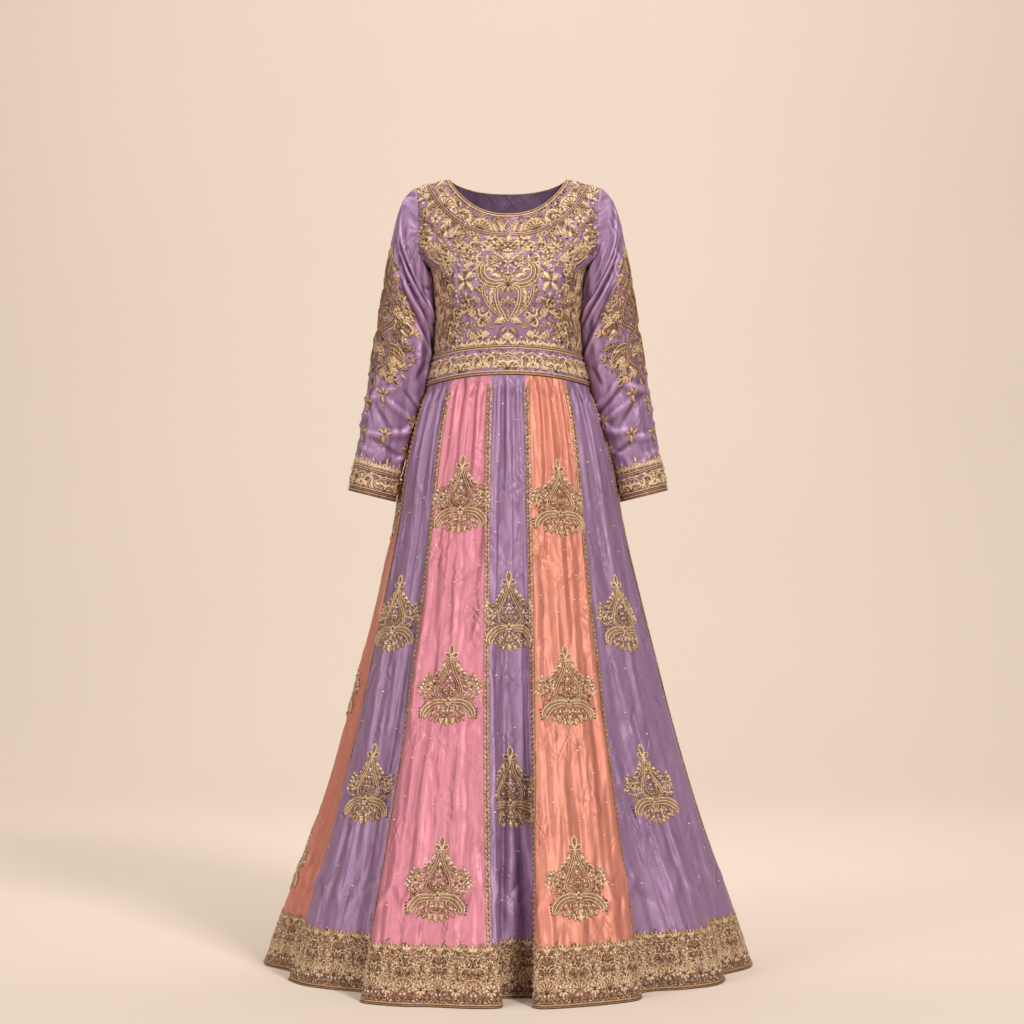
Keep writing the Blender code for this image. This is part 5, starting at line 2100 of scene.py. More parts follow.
# The front below the yoke, in the torso's own places.
FRONT_FIGURE = Composition(
    lines=(
        Line([(7, -200), (15, -192), (25, -183), (33, -173), (42, -165), (52, -166), (54, -175),
            (46, -178)], 2.8, 0.95),
        Line([(12, -210), (24, -205), (36, -197), (48, -193), (58, -197), (68, -192)], 2.4, 0.85),
        Line([(9, -247), (19, -255), (20.5, -268), (17, -284), (10, -299), (3, -314)], 2.5, 0.9, 4.8),
        Line([(36, -241), (43, -251), (42, -266), (35, -280), (25, -292), (11, -303)], 2.3, 0.85, 4.2),
        Line([(2, -211), (9, -219), (16, -227), (26, -232)], 2.4, 0.6),
        Line([(21, -212), (14, -220), (8, -228)], 2.4, 0.45),
    ),
    wings=(
        Wing([(5, -237), (19, -239), (32, -235), (40, -226), (40, -213), (34, -205)], [(8, -247),
            (24, -250), (40, -245), (52, -231), (53, -214), (43, -200)], 2.5),
    ),
    vines=(
        Vine([(34, -332), (46, -337), (60, -336), (76, -326)], 10),
        Vine([(60, -300), (70, -291), (84, -289), (95, -296)], 11),
        Vine([(96, -196), (99, -176), (106, -160), (118, -150)], 14, 9, 3),
    ),
    thickets=(
        Thicket([(56, -148), (98, -150), (98, -206), (64, -206), (56, -182)], 7.6, WEED, 30, 80, 0.85),
        Thicket([(100, -134), (128, -138), (140, -164), (138, -196), (100, -206)],
            8.4, BROAD_WEED, 10, 60, 0.95),
        Thicket([(111, -8), (119, -8), (117, -60), (118, -108), (128, -136), (96, -152), (62, -144),
            (80, -118), (96, -86), (105, -56)], 8, BROAD_WEED, 20, 80, 0.85),
        Thicket([(0, -158), (34, -157), (48, -152), (56, -186), (34, -206), (0, -206)],
            6, WEED, 20, 80, 0.82),
        Thicket([(0, -204), (34, -206), (38, -222), (24, -234), (0, -234)], 6, FINE_WEED, 0, 70, 0.85),
        Thicket([(54, -206), (74, -200), (72, -222), (56, -240)], 7.6, FINE_WEED, 60, 60, 0.9),
        Thicket([(46, -246), (60, -252), (58, -286), (38, -306), (28, -302), (42, -284)],
            7, WEED, 110, 50, 0.85),
        Thicket([(22, -252), (38, -254), (36, -274), (24, -290), (18, -286), (24, -270)],
            6.6, FINE_WEED, 160, 40, 0.85),
        Thicket([(60, -258), (100, -258), (100, -290), (62, -290)], 7.6, WEED, 20, 80, 0.85),
        Thicket([(36, -306), (60, -292), (100, -292), (100, -338), (38, -338)],
            8.2, BROAD_WEED, 20, 70, 0.82),
        Thicket([(0, -256), (15, -258), (15, -280), (2, -298)], 5.8, ("daisy", "knot", "dark leaf"),
            0, 60, 0.8),
        Thicket([(4, -336), (102, -336), (102, -353), (4, -353)], 7, FINE_WEED, 0, 50, 0.8),
    ),
    half=places(
        rosette=((72, -172, 0, 1.15), (112, -212, 0, 0.9), (86, -136), (108, -92, 0, 0.9)),
        paisley=((119, -190, 10, 1.25), (104, -132, 20, 1.1)), shell=((70, -148, 10, 0.8),),
        pearl=((96, -108), (112, -70), (98, -222), (100, -250), (66, -252)), stone=((80, -150), (40, -346)),
        hook=((40, -186, 100, 0.9), (32, -290, 160, -0.95), (46, -302, 120, 0.8)),
        comb=((58, -204, 70, 0.9),),
        broad_leaf=((46, -206, 120), (12, -232, 64, 1.2), (5, -306, 104, 1.3), (7, -314, 84, 1.2)),
        cross=((79, -234, 0, 1.4),), star=((77, -272, 0, 1.35),),
        curl=((62, -226, 0, 0.8), (30, -322, 20, 0.95)), bud=((24, -222, 50, 1.1), (5, -322, 150, 1.7)),
        leaf=((14, -214, 70, 1.1),),
    ) + row_of("dark leaf", (56, -232), (0.6, 6), (70, 80, 90, 100, 110), 0.9)
    + row_of("pearl", (48, -238), (3, 12), (0, 0, 0))
    + row_of("broad leaf", (27, -254), (2.6, -11), (150, 170, 195), 1)
    + row_of("trio", (12, -357), (21, 0), (0, 6, -6, 0, 4), 1.1)
    + row_of("bud", (22.5, -356), (21, 0), (0, 8, -8, 0, 0), 1.1),
    middle=places(
        rosette=((0, -178, 0, 1.4), (0, -246, 0, 1.7)), broad_leaf=((0, -168),),
        leaf=((-7, -170, -40), (7, -170, 40), (0, -308)),
        bud=((0, -202, 0, 1.8), (0, -266, 180), (0, -332, 180, 1.7)), pearl=((0, -214),),
        star=((0, -228, 0, 0.9),), spray=((0, -268, 180, 0.8),), trio=((0, -348, 0, 1.1),),
    ),
)

# The work at the sides of the bodice: close upright strokes with flowers and drops among them.
SIDE_FIGURE = Composition(
    thickets=(
        Thicket([(103, -352), (204, -352), (204, -206), (122, -206), (106, -222)],
            7.4, ("stroke", "stroke", "dark stroke", "leaf", "stroke", "curl", "right leaf", "daisy"),
            0, 26, 1),
    ),
    half=places(
        paisley=((116, -330, 6), (122, -270, -8), (150, -300, 8), (158, -240, -6), (184, -320, 6),
            (188, -262, -8)),
        rosette=((112, -298), (140, -338), (140, -254), (172, -280), (190, -230), (168, -340)),
        hook=((104, -250, 0, 0.9), (106, -318, 0, 0.9)),
    ),
)

# One repeat of a band's vine, about the band's middle line.
BAND_WIDTH = 77.0
BAND = Composition(
    lines=(
        Line([(0, 14.5), (4.8, 11.2), (9.6, 10), (14.4, 11.2), (19.2, 14.5)], 2, 1),
        Line([(19.2, 14.5), (24, 11.2), (28.9, 10), (33.7, 11.2), (38.5, 14.5)], 2, 1),
        Line([(18, -15), (22, -6), (21, 3), (26, 8), (33, 5)], 2.8, 1),
        Line([(38.5, -14), (36, -7), (38.5, 0)], 2.2, 0.95),
    ),
    thickets=(
        Thicket([(16, -16), (38, -16), (38, 10), (14, 10)], 7, ("leaf", "right leaf", "dark leaf", "daisy"),
            10, 70, 0.7),
    ),
    half=places(
        hook=((19, -13, -20, -0.9),), broad_leaf=((28, -14, 24, 0.95), (36, -6, -24, 0.9)),
        leaf=((25, -6, 70, 0.9), (14, 4, 60, 0.8), (20, -16, 40, 0.8)), bud=((9, 8, 30, 0.8),),
        pearl=((14, -2), (24, 13)), stone=((30, 1),),
    ),
    middle=places(
        shell=((0, -14, 0, 1.45),), bud=((0, 9, 0, 0.7), (38.5, 0, 0, 1.1)), stone=((0, -10),),
        rosette=((38.5, -8, 0, 0.8),),
    ),
)

# The tall figure on a sleeve: three ogee cells with drops and flowers at their sides; about 250 by 140.
SLEEVE_FIGURE = Composition(
    lines=(
        Line([(1, 114), (11, 102), (17, 84), (12, 66), (-2, 52), (-16, 40), (-28, 24), (-27, 4), (-11, -14),
            (5, -25), (24, -37), (33, -55), (26, -77), (6, -96)], 2.4, 0.7, 4.4),
        Line([(2, 70), (16, 62), (30, 60), (42, 68), (54, 66)], 2.2, 0.75, 3.8),
    ),
    wings=(
        Wing([(26, -36), (42, -34), (55, -42), (60, -58)], [(30, -50), (40, -50), (49, -54), (60, -58)],
            2.6),
    ),
    vines=(
        Vine([(20, 92), (30, 82), (34, 70)], 11),
        Vine([(32, 24), (48, 22), (62, 30)], 12),
        Vine([(34, -60), (50, -66), (64, -60)], 12),
        Vine([(14, -92), (28, -100), (44, -98)], 11),
    ),
    thickets=(
        Thicket([(18, 62), (58, 60), (66, 10), (58, -30), (34, -22), (32, 20)],
            8.2, ("leaf", "broad leaf", "right leaf", "dark leaf", "star", "curl"), 40, 70, 0.9),
        Thicket([(34, -40), (62, -46), (58, -84), (30, -96), (14, -96), (36, -66)],
            8, ("leaf", "broad leaf", "right leaf", "curl"), 100, 60, 0.9),
        Thicket([(0, 46), (15, 34), (22, 20), (20, 2), (7, -10), (0, -12)],
            6.6, ("daisy", "leaf", "knot", "dark leaf"), 0, 60, 0.7),
        Thicket([(0, -30), (18, -40), (26, -54), (20, -72), (4, -86), (0, -86)],
            6.6, ("daisy", "leaf", "knot", "dark leaf"), 0, 60, 0.7),
        Thicket([(8, 104), (24, 96), (26, 66), (14, 54), (20, 84)], 8, ("leaf", "right leaf", "bud"),
            40, 50, 0.8),
    ),
    half=places(
        paisley=((47, -8, 18, 1.3),), cross=((60, 46, 20, 0.95),), hook=((44, 12, 40, 1.1),),
        shell=((32, -82, 70, 0.95),), trefoil=((40, -96, 132, 0.8),),
        rosette=((42, 58, 0, 0.95), (58, -28)), comb=((50, -30, 30, 0.9),),
        trio=((20, 108, 30, 0.9), (66, -44, 70), (70, 12, 70)), bud=((30, 92, 30, 1.1),),
        pearl=((54, 30), (34, 8), (56, -12), (42, -64)), stone=((40, 40),),
    ),
    middle=places(
        spray=((0, 80, 0, 0.9),), rosette=((0, 20, 0, 1.4),), shell=((0, -66, 0, 1.25),),
        bud=((0, -42, 0, 1.2),), drop=((0, -116, 0, 1.15),), trefoil=((0, 112, 0, 0.8),),
    ),
)


def band(half: float, middle: float, seed: int) -> Needlework:
    """Whole repeats of the vine over a band, as wide as its half width asks.

    Args:
        half: half the band's length.
        middle: the height of its middle line.
        seed: starts the thickets' scatter.

    Returns:
        The vine and its flowers.
    """
    count = max(1, round(2 * half / BAND_WIDTH))
    if count % 2 == 0:
        count -= 1
    stretch = 2 * half / (count * BAND_WIDTH)
    parts = []
    for i in range(count):
        repeat = BAND.drawn(seed + i % 2)
        repeat.points[:, 0] = (repeat.points[:, 0] + BAND_WIDTH * (i - count // 2)) * stretch
        parts.append(repeat.placed(0, middle))
    return Needlework.together(parts)


def level_cords(half: float, rows: Sequence[tuple[float, float, float]]) -> Needlework:
    """Cords along a band: each row gives a height, a width and a tone."""
    across = np.linspace(-half, half, 25)
    return Needlework.together(
        [Cord(width, 1.8, tone, step=5).along([(x, y) for x in across]) for y, width, tone in rows]
    )


@dataclass(frozen=True)
class Braid:
    """The braid over a skirt seam: stones between leaves, with beads along both edges."""

    low: float = 100.0
    high: float = 1118.0
    pitch: float = 9.2

    def drawn(self) -> Needlework:
        """The braid, upwards along x = 0."""
        draw = np.random.default_rng(5)
        parts = []
        stone = Bead(1.4, 1.4, 0.5, Thread.STONE, sides=6, rings=1)
        for i in range(int((self.high - self.low) // self.pitch)):
            y = self.low + self.pitch * i
            parts.append(stone.at((draw.uniform(-0.4, 0.4), y)))
            for side in (-1, 1):
                blade = Leaf(draw.uniform(6.4, 7.6), 3.0, 34 * side, 1.4, draw.uniform(0.55, 1.0), stations=4)
                parts.append(blade.drawn().placed(1.0 * side, y + 1.4, draw.uniform(6, 26) * side))
            edges = [(side * draw.uniform(2.8, 3.8), y + draw.uniform(-1.5, 1.5)) for side in (-1, 1)]
            parts.append(Bead(1.2, 1.3, 0.95, Thread.ZARI, sides=5, rings=1).at(*edges))
        return Needlework.together(parts)


# ---- The parts of the gown ----


def distance_to(line: Array, u: Array, v: Array) -> Array:
    """How far each place lies from a line of places."""
    near = np.full(u.shape, 1e9)
    for x, y in line:
        near = np.minimum(near, np.hypot(u - x, v - y))
    return near


@dataclass
class Bodice:
    """The bodice and the waistband under it, with their needlework. What is gold is from 0 to 1."""

    cut: BodiceCut = BodiceCut()
    mesh: tuple[int, int] = (100, 80)  # columns and rows
    lining_mesh: tuple[int, int] = (50, 34)
    band_mesh: tuple[int, int] = (120, 12)
    band_lift: float = 0.0012
    lining_lift: float = -0.0016
    lining_reach: float = 0.995
    edge_reach: float = 0.014
    crumples: int = 110
    yoke_gold: float = 0.50
    yoke_width: float = 0.041
    chest_gold: float = 0.24
    side_gold: float = 0.60
    foot_gold: float = 0.40
    band_gold: float = 0.32
    side_start: float = 0.104  # how far out the side columns begin, and how their edges wave
    side_wave: float = 0.006
    side_wave_length: float = 0.009
    # Heights between which gold sets in: none at the first, all of it at the second.
    chest_heights: tuple[float, float] = (-0.214, -0.204)
    side_heights: tuple[float, float] = (-0.196, -0.210)
    foot_heights: tuple[float, float] = (-0.338, -0.348)

    def build(self) -> None:
        """Builds the front and the back."""
        for face in Face:
            chart = TorsoChart(face, self.relief(face), self.cut.torso)
            work = self.panel_work(face, chart)
            u, v = self.places(face, *self.mesh)
            name = f"bodice_{face.word}"
            silk = shell(f"{name}_silk", chart, u, v, 0.0, Dye.LILAC, self.worked(face, u, v), name)
            CUTS[name].declare(silk, [f"waistband_{face.word}_silk"], [work])
            self.yoke(face, chart)
            self.lining(face)
            self.waistband(face, chart)

    def edge(self, angle: Array, fall: Array) -> Array:
        """Places of the chart from wrap angles and falls."""
        return np.column_stack([angle * WRAP, -fall])

    def places(self, face: Face, columns: int, rows: int, reach: float = 1.0) -> tuple[Array, Array]:
        """A grid of places over the panel, out to a share of its width."""
        across, up = grid(np.linspace(-1, 1, columns), np.linspace(0, 1, rows))
        angle, fall = self.cut.place(across.ravel() * reach, up.ravel(), face)
        return (-face.value * angle * WRAP).reshape(across.shape), -fall.reshape(across.shape)

    def relief(self, face: Face) -> Relief:
        """The bodice's creases, which die out towards its edges."""
        relief = Relief((-0.215, -0.420), (0.215, 0.0))
        relief.press(BODICE_CREASES[face])
        relief.crumple(71 + face.value, self.crumples, 0, 50, 0.35)
        u, v = relief.places()
        top = self.edge(*self.cut.top_edge(np.linspace(-1, 1, 90), face))
        side = self.edge(*self.cut.side_edge(np.linspace(0, 1, 90)))
        relief.fade(distance_to(top, u, v), self.edge_reach)
        relief.fade(distance_to(side, abs(u), v), self.edge_reach)
        relief.fade(v + self.cut.torso.fall_of(self.cut.band_top_drop), self.edge_reach)
        return relief

    def worked(self, face: Face, u: Array, v: Array) -> Array:
        """How densely gold covers the panel: most in the yoke and the side columns."""
        neck = self.edge(*self.cut.top_edge(np.linspace(-1, 1, 120) * self.cut.neck_share, face))
        dense = self.yoke_gold * smoothstep(self.yoke_width + 0.004, self.yoke_width, distance_to(neck, u, v))
        if face is Face.FRONT:
            dense = np.maximum(dense, self.chest_gold * smoothstep(*self.chest_heights, v))
        inner = self.side_start + self.side_wave * np.sin(v / self.side_wave_length)
        column = smoothstep(inner, inner + 0.005, abs(u)) * smoothstep(*self.side_heights, v)
        dense = np.maximum(dense, self.side_gold * column)
        return np.maximum(dense, self.foot_gold * smoothstep(*self.foot_heights, v))

    def panel_work(self, face: Face, chart: TorsoChart) -> bpy.types.Object:
        """The figures on the panel below the yoke."""
        work = WorkedPiece(f"bodice_{face.word}_work")
        work.sew(chart, SIDE_FIGURE.drawn(21 + face.value).toned(-0.06))
        if face is Face.FRONT:
            work.sew(chart, FRONT_FIGURE.drawn(11))
        else:
            sprigs = row_of("sprig", (14, -356), (14, 0), (0,) * 7)
            work.sew(chart, SKIRT_MOTIF.drawn(3).placed(0, -262))
            work.sew(chart, Composition(half=sprigs).drawn())
        return work.made()

    def lining(self, face: Face) -> None:
        """The plain silk inside the panel."""
        u, v = self.places(face, *self.lining_mesh, self.lining_reach)
        flat = TorsoChart(face, Relief((-0.2, -0.4), (0.2, 0.0), 0.1), self.cut.torso)
        name = f"bodice_{face.word}_lining"
        piece = shell(name, flat, u, v, self.lining_lift, Dye.LILAC, np.zeros(u.shape))
        CUTS["lining"].declare(piece, [f"bodice_{face.word}_silk"], [])

    def yoke(self, face: Face, chart: TorsoChart) -> None:
        """The work round the neckline, with the cords that bind it."""
        neck = NeckChart(chart, self.cut)
        work = WorkedPiece(f"neckline_work_{face.word}")
        half = neck.half / MM
        rows = (-0.6, 3.0, 0.7), (-4.8, 2.4, 0.9), (-39.4, 1.8, 0.8), (-43.2, 1.8, 0.7)
        work.sew(neck, level_cords(half, rows))
        work.sew(neck, YOKE.drawn(5, half - 6).toned(-0.07))
        if face is Face.FRONT:
            start = 40
            keyhole = [(0, -14), (3.6, -20), (6, -27), (5, -33), (0, -36)]
            work.sew(neck, Composition(lines=(Line(keyhole, 1.8, 0.95),)).drawn())
        else:
            start = 8
            work.sew(neck, Rosette(10, 8, 0.75).drawn().placed(0, -27))
        fringe = []
        for i, x in enumerate(np.arange(start, half - 4, 14.0)):
            fringe.append(Place("sprig", x, -45, 180 + 6 * (-1) ** i, 1.0 + 0.35 * (i % 2)))
            fringe.append(Place("daisy", x + 7, -50))
        work.sew(neck, Composition(half=tuple(fringe)).drawn())
        work.made(f"neck_binding_{face.word}")

    def waistband(self, face: Face, chart: TorsoChart) -> None:
        """The band of silk at the waist and the work on it."""
        top, foot = (-self.cut.torso.fall_of(drop) for drop in (self.cut.band_top_drop, self.cut.waist_drop))
        half = WRAP * math.pi / 2
        columns, rows = self.band_mesh
        u, v = grid(np.linspace(-half, half, columns), np.linspace(foot, top, rows))
        name = f"waistband_{face.word}"
        worked = np.full(u.shape, self.band_gold)
        silk = shell(f"{name}_silk", chart, u, v, self.band_lift, Dye.LILAC, worked, name)
        work = WorkedPiece(f"{name}_work", lift=self.band_lift + WORK_LIFT)
        half, top, foot = half / MM, top / MM, foot / MM
        cords = (top - 2, 2.4, 0.7), (top - 6, 1.9, 0.95), (foot + 2, 2.8, 0.6), (foot + 6.4, 2.2, 0.9)
        work.sew(chart, level_cords(half, cords), band(half, (top + foot) / 2 - 0.5, 31 + face.value))
        CUTS[name].declare(silk, [f"bodice_{face.word}_silk"], [work.made()])


@dataclass
class Sleeve:
    """A sleeve and its cuff, with their needlework. What is gold is from 0 to 1."""

    side: Side
    form: SleeveForm = SleeveForm()
    columns: int = 104
    rows: int = 165
    cuff_rows: int = 14
    cuff_lift: float = 0.0012
    seam_reach: float = 0.010
    end_reach: float = 0.012
    crumples: int = 90
    spray: tuple[float, float] = (34.0, -264.0)
    spray_size: float = 1.08
    spray_gold: float = 0.60
    foot_gold: float = 0.45
    foot_heights: tuple[float, float] = (-0.545, -0.550)  # between which the gold of the foot sets in
    cuff_gold: float = 0.40

    def build(self) -> None:
        """Builds the sleeve, then the cuff."""
        chart = SleeveChart(self.side, self.relief(), self.form)
        name = f"sleeve_{self.side.word}"
        u, v = self.places(chart, 0.0, self.form.length - self.form.cuff, self.rows)
        silk = shell(f"{name}_silk", chart, u, v, 0.0, Dye.LILAC, self.worked(u, v), name)
        work = WorkedPiece(f"{name}_work")
        spray = SLEEVE_FIGURE.drawn(41 + self.side.value).toned(-0.14)
        work.sew(chart, spray.placed(-self.side.value * self.spray[0], self.spray[1], 0, self.spray_size))
        work.sew(chart, self.edging(self.cuff_half(chart)))
        work.sew(chart, self.butis())
        CUTS["sleeve"].declare(silk, ["bodice_front_silk", "bodice_back_silk"], [work.made()])
        self.cuff(chart)

    def relief(self) -> Relief:
        """The sleeve's creases, which die out towards its seam and its ends."""
        relief = Relief((-0.200, -0.620), (0.200, 0.0), sharpness=1.25)
        creases = SLEEVE_CREASES
        if self.side is Side.LEFT:
            creases = [vary(crease.mirrored(), i) for i, crease in enumerate(SLEEVE_CREASES)]
        relief.press(creases)
        relief.crumple(81 + self.side.value, self.crumples, 20 * self.side.value, 50, 2.1)
        u, v = relief.places()
        seam = math.pi * SleeveChart(self.side, relief, self.form).radius(-v)
        relief.fade(seam - abs(u), self.seam_reach)
        relief.fade(-v, self.end_reach)
        relief.fade(v + self.form.length - self.form.cuff, self.end_reach)
        return relief

    def places(self, chart: SleeveChart, top: float, foot: float, rows: int) -> tuple[Array, Array]:
        """A grid of places round the sleeve, between two distances down it."""
        angle, along = grid(np.linspace(-math.pi, math.pi, self.columns), np.linspace(foot, top, rows))
        return angle * chart.radius(along), -along

    def worked(self, u: Array, v: Array) -> Array:
        """How densely gold covers the sleeve: in its spray and just above the cuff."""
        outline = (np.array(SLEEVE_SPRAY) * self.spray_size + self.spray) * MM
        across = -self.side.value * u
        held = inside(outline, np.column_stack([across.ravel(), v.ravel()])).reshape(u.shape)
        return np.maximum(self.spray_gold * held, self.foot_gold * smoothstep(*self.foot_heights, v))

    def cuff_half(self, chart: SleeveChart) -> float:
        """Half the way round the cuff, in millimetres."""
        return math.pi * float(chart.radius(self.form.length)) / MM

    def cuff(self, chart: SleeveChart) -> None:
        """The cuff's silk and its work."""
        name = f"cuff_{self.side.word}"
        u, v = self.places(chart, self.form.length - self.form.cuff, self.form.length, self.cuff_rows)
        worked = np.full(u.shape, self.cuff_gold)
        silk = shell(f"{name}_silk", chart, u, v, self.cuff_lift, Dye.LILAC, worked, name)
        work = WorkedPiece(f"{name}_work", lift=self.cuff_lift + WORK_LIFT)
        half = self.cuff_half(chart)
        top = (-552.6, 2.0, 0.9), (-556.4, 1.8, 0.8)
        foot = (-593.4, 2.0, 0.95), (-597.4, 2.2, 0.55), (-601.4, 2.2, 0.85), (-605.2, 2.2, 0.5)
        work.sew(chart, level_cords(half, top + foot))
        work.sew(chart, band(half, -574.6, 51 + self.side.value))
        CUTS["cuff"].declare(silk, [f"sleeve_{self.side.word}_silk"], [work.made()])

    def edging(self, half: float, count: int = 20) -> Needlework:
        """The leaves that stand up from the cuff over the sleeve."""
        sizes = (1.35, 0.9, 1.15, 0.9)
        leaves = []
        for i in range(count):
            x = half * ((2 * i + 1) / count - 1)
            leaves.append(Place("sprig", x, -551, 0, sizes[i % len(sizes)]))
            leaves.append(Place("trio", x + half / count, -549, 0, 0.9))
        return Composition(middle=tuple(leaves)).drawn()

    def butis(self) -> Needlework:
        """Small drops scattered over the lower sleeve, and a few sequins higher up."""
        front = -self.side.value
        petal = Leaf(13, 7.5, rise=1.7, tone=0.85, fullest=1.2).drawn()
        bead = Bead(1.4, 1.3, 0.9).at((0, -16))
        parts = petal.placed(turn=180), fan_of(element("bud"), 3, 1.5, 58), STONE.at((0, 0)), bead
        drop = Needlework.together(parts)
        drops = [drop.placed(front * x, y, turn, 1.35).toned(-0.12) for x, y, turn in BUTIS]
        sequins = Bead(1.8, 1.1, 0.9, Thread.ZARI).at(*[(front * x, y) for x, y in SLEEVE_SEQUINS])
        return Needlework.together([*drops, sequins])


@dataclass
class SkirtPanel:
    """One kali: its silk, its worked border, its motifs and the braid over its seam.

    What is gold is from 0 to 1. Where sequins and motifs lie is in millimetres.
    """

    number: int
    form: SkirtForm = SkirtForm()
    columns: int = 55
    rows: int = 184
    border_height: float = 0.122
    border_gold: float = 0.95
    motif_gold: float = 0.62
    crumples: int = 210
    border_calm: float = 0.75  # the part of the creases that the stiff border takes away
    top_calm: float = 0.40  # the part that the pull of the waist takes away
    sequins: int = 26
    sequin_tries: int = 400
    sequin_heights: tuple[float, float] = (165, 1080)
    sequin_margin: float = 12
    sequin_gap: float = 42
    motif_clearance: tuple[float, float] = (58, 88)
    ease: float = 1.09  # what gathers and creases take up of the cloth

    @property
    def word(self) -> str:
        """The panel's number in the solids' names."""
        return f"{self.number % self.form.panels:02d}"

    @property
    def dye(self) -> Dye:
        """The panel's colour."""
        return KALI_DYES.get(self.number, Dye.LILAC)

    @property
    def motifs(self) -> Path:
        """Where the middles of the panel's motifs lie."""
        shifts = MOTIF_SHIFTS.get(self.number, (0.0, 0.0, 0.0))
        return list(zip(shifts, MOTIF_HEIGHTS[self.dye]))

    def build(self) -> None:
        """Builds the panel, its work and its braid."""
        chart = KaliChart(self.number, Relief((-0.152, 0.0), (0.152, 1.136)), self.form)
        self.crease(chart)
        name = f"skirt_kali_{self.word}"
        share, v = grid(np.linspace(-1, 1, self.columns), np.linspace(0, chart.slant, self.rows))
        u = share * chart.half(v)
        silk = shell(f"{name}_silk", chart, u, v, 0.0, self.dye, self.worked(u, v), name)
        made = self.work(name, chart)
        waist = Face.FRONT if abs(self.number) < self.form.panels / 4 else Face.BACK
        widths = 2 * chart.half(np.linspace(0, chart.slant, self.rows))
        area = float(widths.mean()) * chart.slant * self.ease
        flat = Cut(float(widths.max()) * self.ease, chart.slant, area, Held.GATHERED)
        flat.declare(silk, [f"waistband_{waist.word}_silk"], [made])
        self.braid()

    def crease(self, chart: KaliChart) -> None:
        """Presses the panel's folds and creases into its relief."""
        relief = chart.relief
        creases = list(KALI_CREASES[self.number % len(KALI_CREASES)] + GATHERS + HEM_PUCKERS)
        creases += DEEP_FOLDS.get(self.number, ())
        for x, y in self.motifs:
            wide = chart.hem_half / chart.half_at(y)
            for pucker in MOTIF_PUCKERS:
                x_at, y_at = (x + pucker.x) * wide, y + pucker.y
                creases.append(pucker._replace(x=x_at, y=y_at, width=pucker.width * wide**0.5))
        relief.press([vary(crease, self.number * 31 + i) for i, crease in enumerate(creases)])
        relief.crumple(100 + self.number, self.crumples, 0, 34, 1.1)
        _, v = relief.places()
        relief.heights *= 1 - self.border_calm * smoothstep(self.border_height + 0.04, 0.03, v)
        relief.heights *= 1 - self.top_calm * smoothstep(0.50, 1.0, v)
        relief.fade(chart.slant - v, 0.02)

    def worked(self, u: Array, v: Array) -> Array:
        """How densely gold covers the panel: in its border and its motifs."""
        top = self.border_height - 0.022 + 0.006 * np.cos(math.tau * u / (BORDER_WIDTH / 2 * MM))
        dense = self.border_gold * smoothstep(top + 0.004, top - 0.002, v)
        flat = np.column_stack([u.ravel(), v.ravel()])
        for place in self.motifs:
            held = inside((np.array(MOTIF_GROUND) + place) * MM, flat).reshape(u.shape)
            dense = np.maximum(dense, self.motif_gold * held)
        return dense

    def work(self, name: str, chart: KaliChart) -> bpy.types.Object:
        """The border, the motifs and the loose dots."""
        work = WorkedPiece(f"{name}_work")
        repeats = max(3, round(2 * chart.half_at(0.0) / MM / BORDER_WIDTH))
        width = repeats * BORDER_WIDTH
        border = BorderChart(chart, width * MM)
        kinds = [BORDER.drawn(7), BORDER.drawn(8)]
        for i in range(repeats):
            work.sew(border, kinds[i % 2].placed(BORDER_WIDTH * (i + 0.5) - width / 2, 0))
        piping = [(x, 0.4) for x in np.linspace(-width / 2, width / 2, 9)]
        work.sew(border, Cord(3.4, 2.0, 0.6, step=6, sink=0.6).along(piping))
        motif = SKIRT_MOTIF.drawn(60 + self.number).toned(0.07)
        work.sew(chart, *[motif.placed(x, y) for x, y in self.motifs])
        work.sew(chart, self.dots(chart))
        return work.made()

    def dots(self, chart: KaliChart) -> Needlework:
        """Sequins scattered between the motifs."""
        draw = np.random.default_rng(300 + self.number)
        wide, high = self.motif_clearance
        kept = []
        for _ in range(self.sequin_tries):
            y = draw.uniform(*self.sequin_heights)
            edge = chart.half_at(y) / MM - self.sequin_margin
            x = draw.uniform(-edge, edge)
            clear = all(abs(y - b) > high or abs(x - a) > wide for a, b in self.motifs)
            if clear and all(math.hypot(x - a, y - b) > self.sequin_gap for a, b in kept):
                kept.append((x, y))
        return Bead(1.7, 1.0, 0.95, Thread.ZARI).at(*kept[: self.sequins])

    def braid(self) -> None:
        """The beaded braid over the seam on the panel's +X side."""
        work = WorkedPiece(f"seam_braid_{self.word}")
        seam = SeamChart(self.number, self.form)
        braid = Braid()
        for edge in (-4.2, 4.2):
            line = [(edge, y) for y in np.linspace(braid.low, braid.high, 60)]
            work.sew(seam, Cord(1.5, 1.0, 0.6, step=9).along(line))
        work.sew(seam, braid.drawn())
        work.made(f"seam_trim_{self.word}")


def vary(crease: Crease, seed: int, much: float = 0.4) -> Crease:
    """A crease of the same kind in a slightly different place and size."""
    draw = np.random.default_rng(900 + seed)
    return Crease(
        crease.x + much * draw.normal(0, 9),
        crease.y + much * draw.normal(0, 26),
        crease.length * (1 + much * draw.uniform(-0.35, 0.35)),
        crease.turn + much * draw.normal(0, 3),
        crease.depth * (1 + much * draw.uniform(-0.4, 0.4)),
        crease.width * (1 + much * draw.uniform(-0.2, 0.3)),
        crease.bow + much * draw.normal(0, 6),
    )


CUTS = {
    "bodice_front": Cut(0.425, 0.395, 0.125),
    "bodice_back": Cut(0.405, 0.390, 0.122),
    "lining": Cut(0.405, 0.390, 0.122),
    "waistband_front": Cut(0.425, 0.060, 0.425 * 0.060),
    "waistband_back": Cut(0.410, 0.060, 0.410 * 0.060),
    "sleeve": Cut(0.330, 0.560, 0.172, Held.HUNG),
    "cuff": Cut(0.285, 0.056, 0.0159),
}

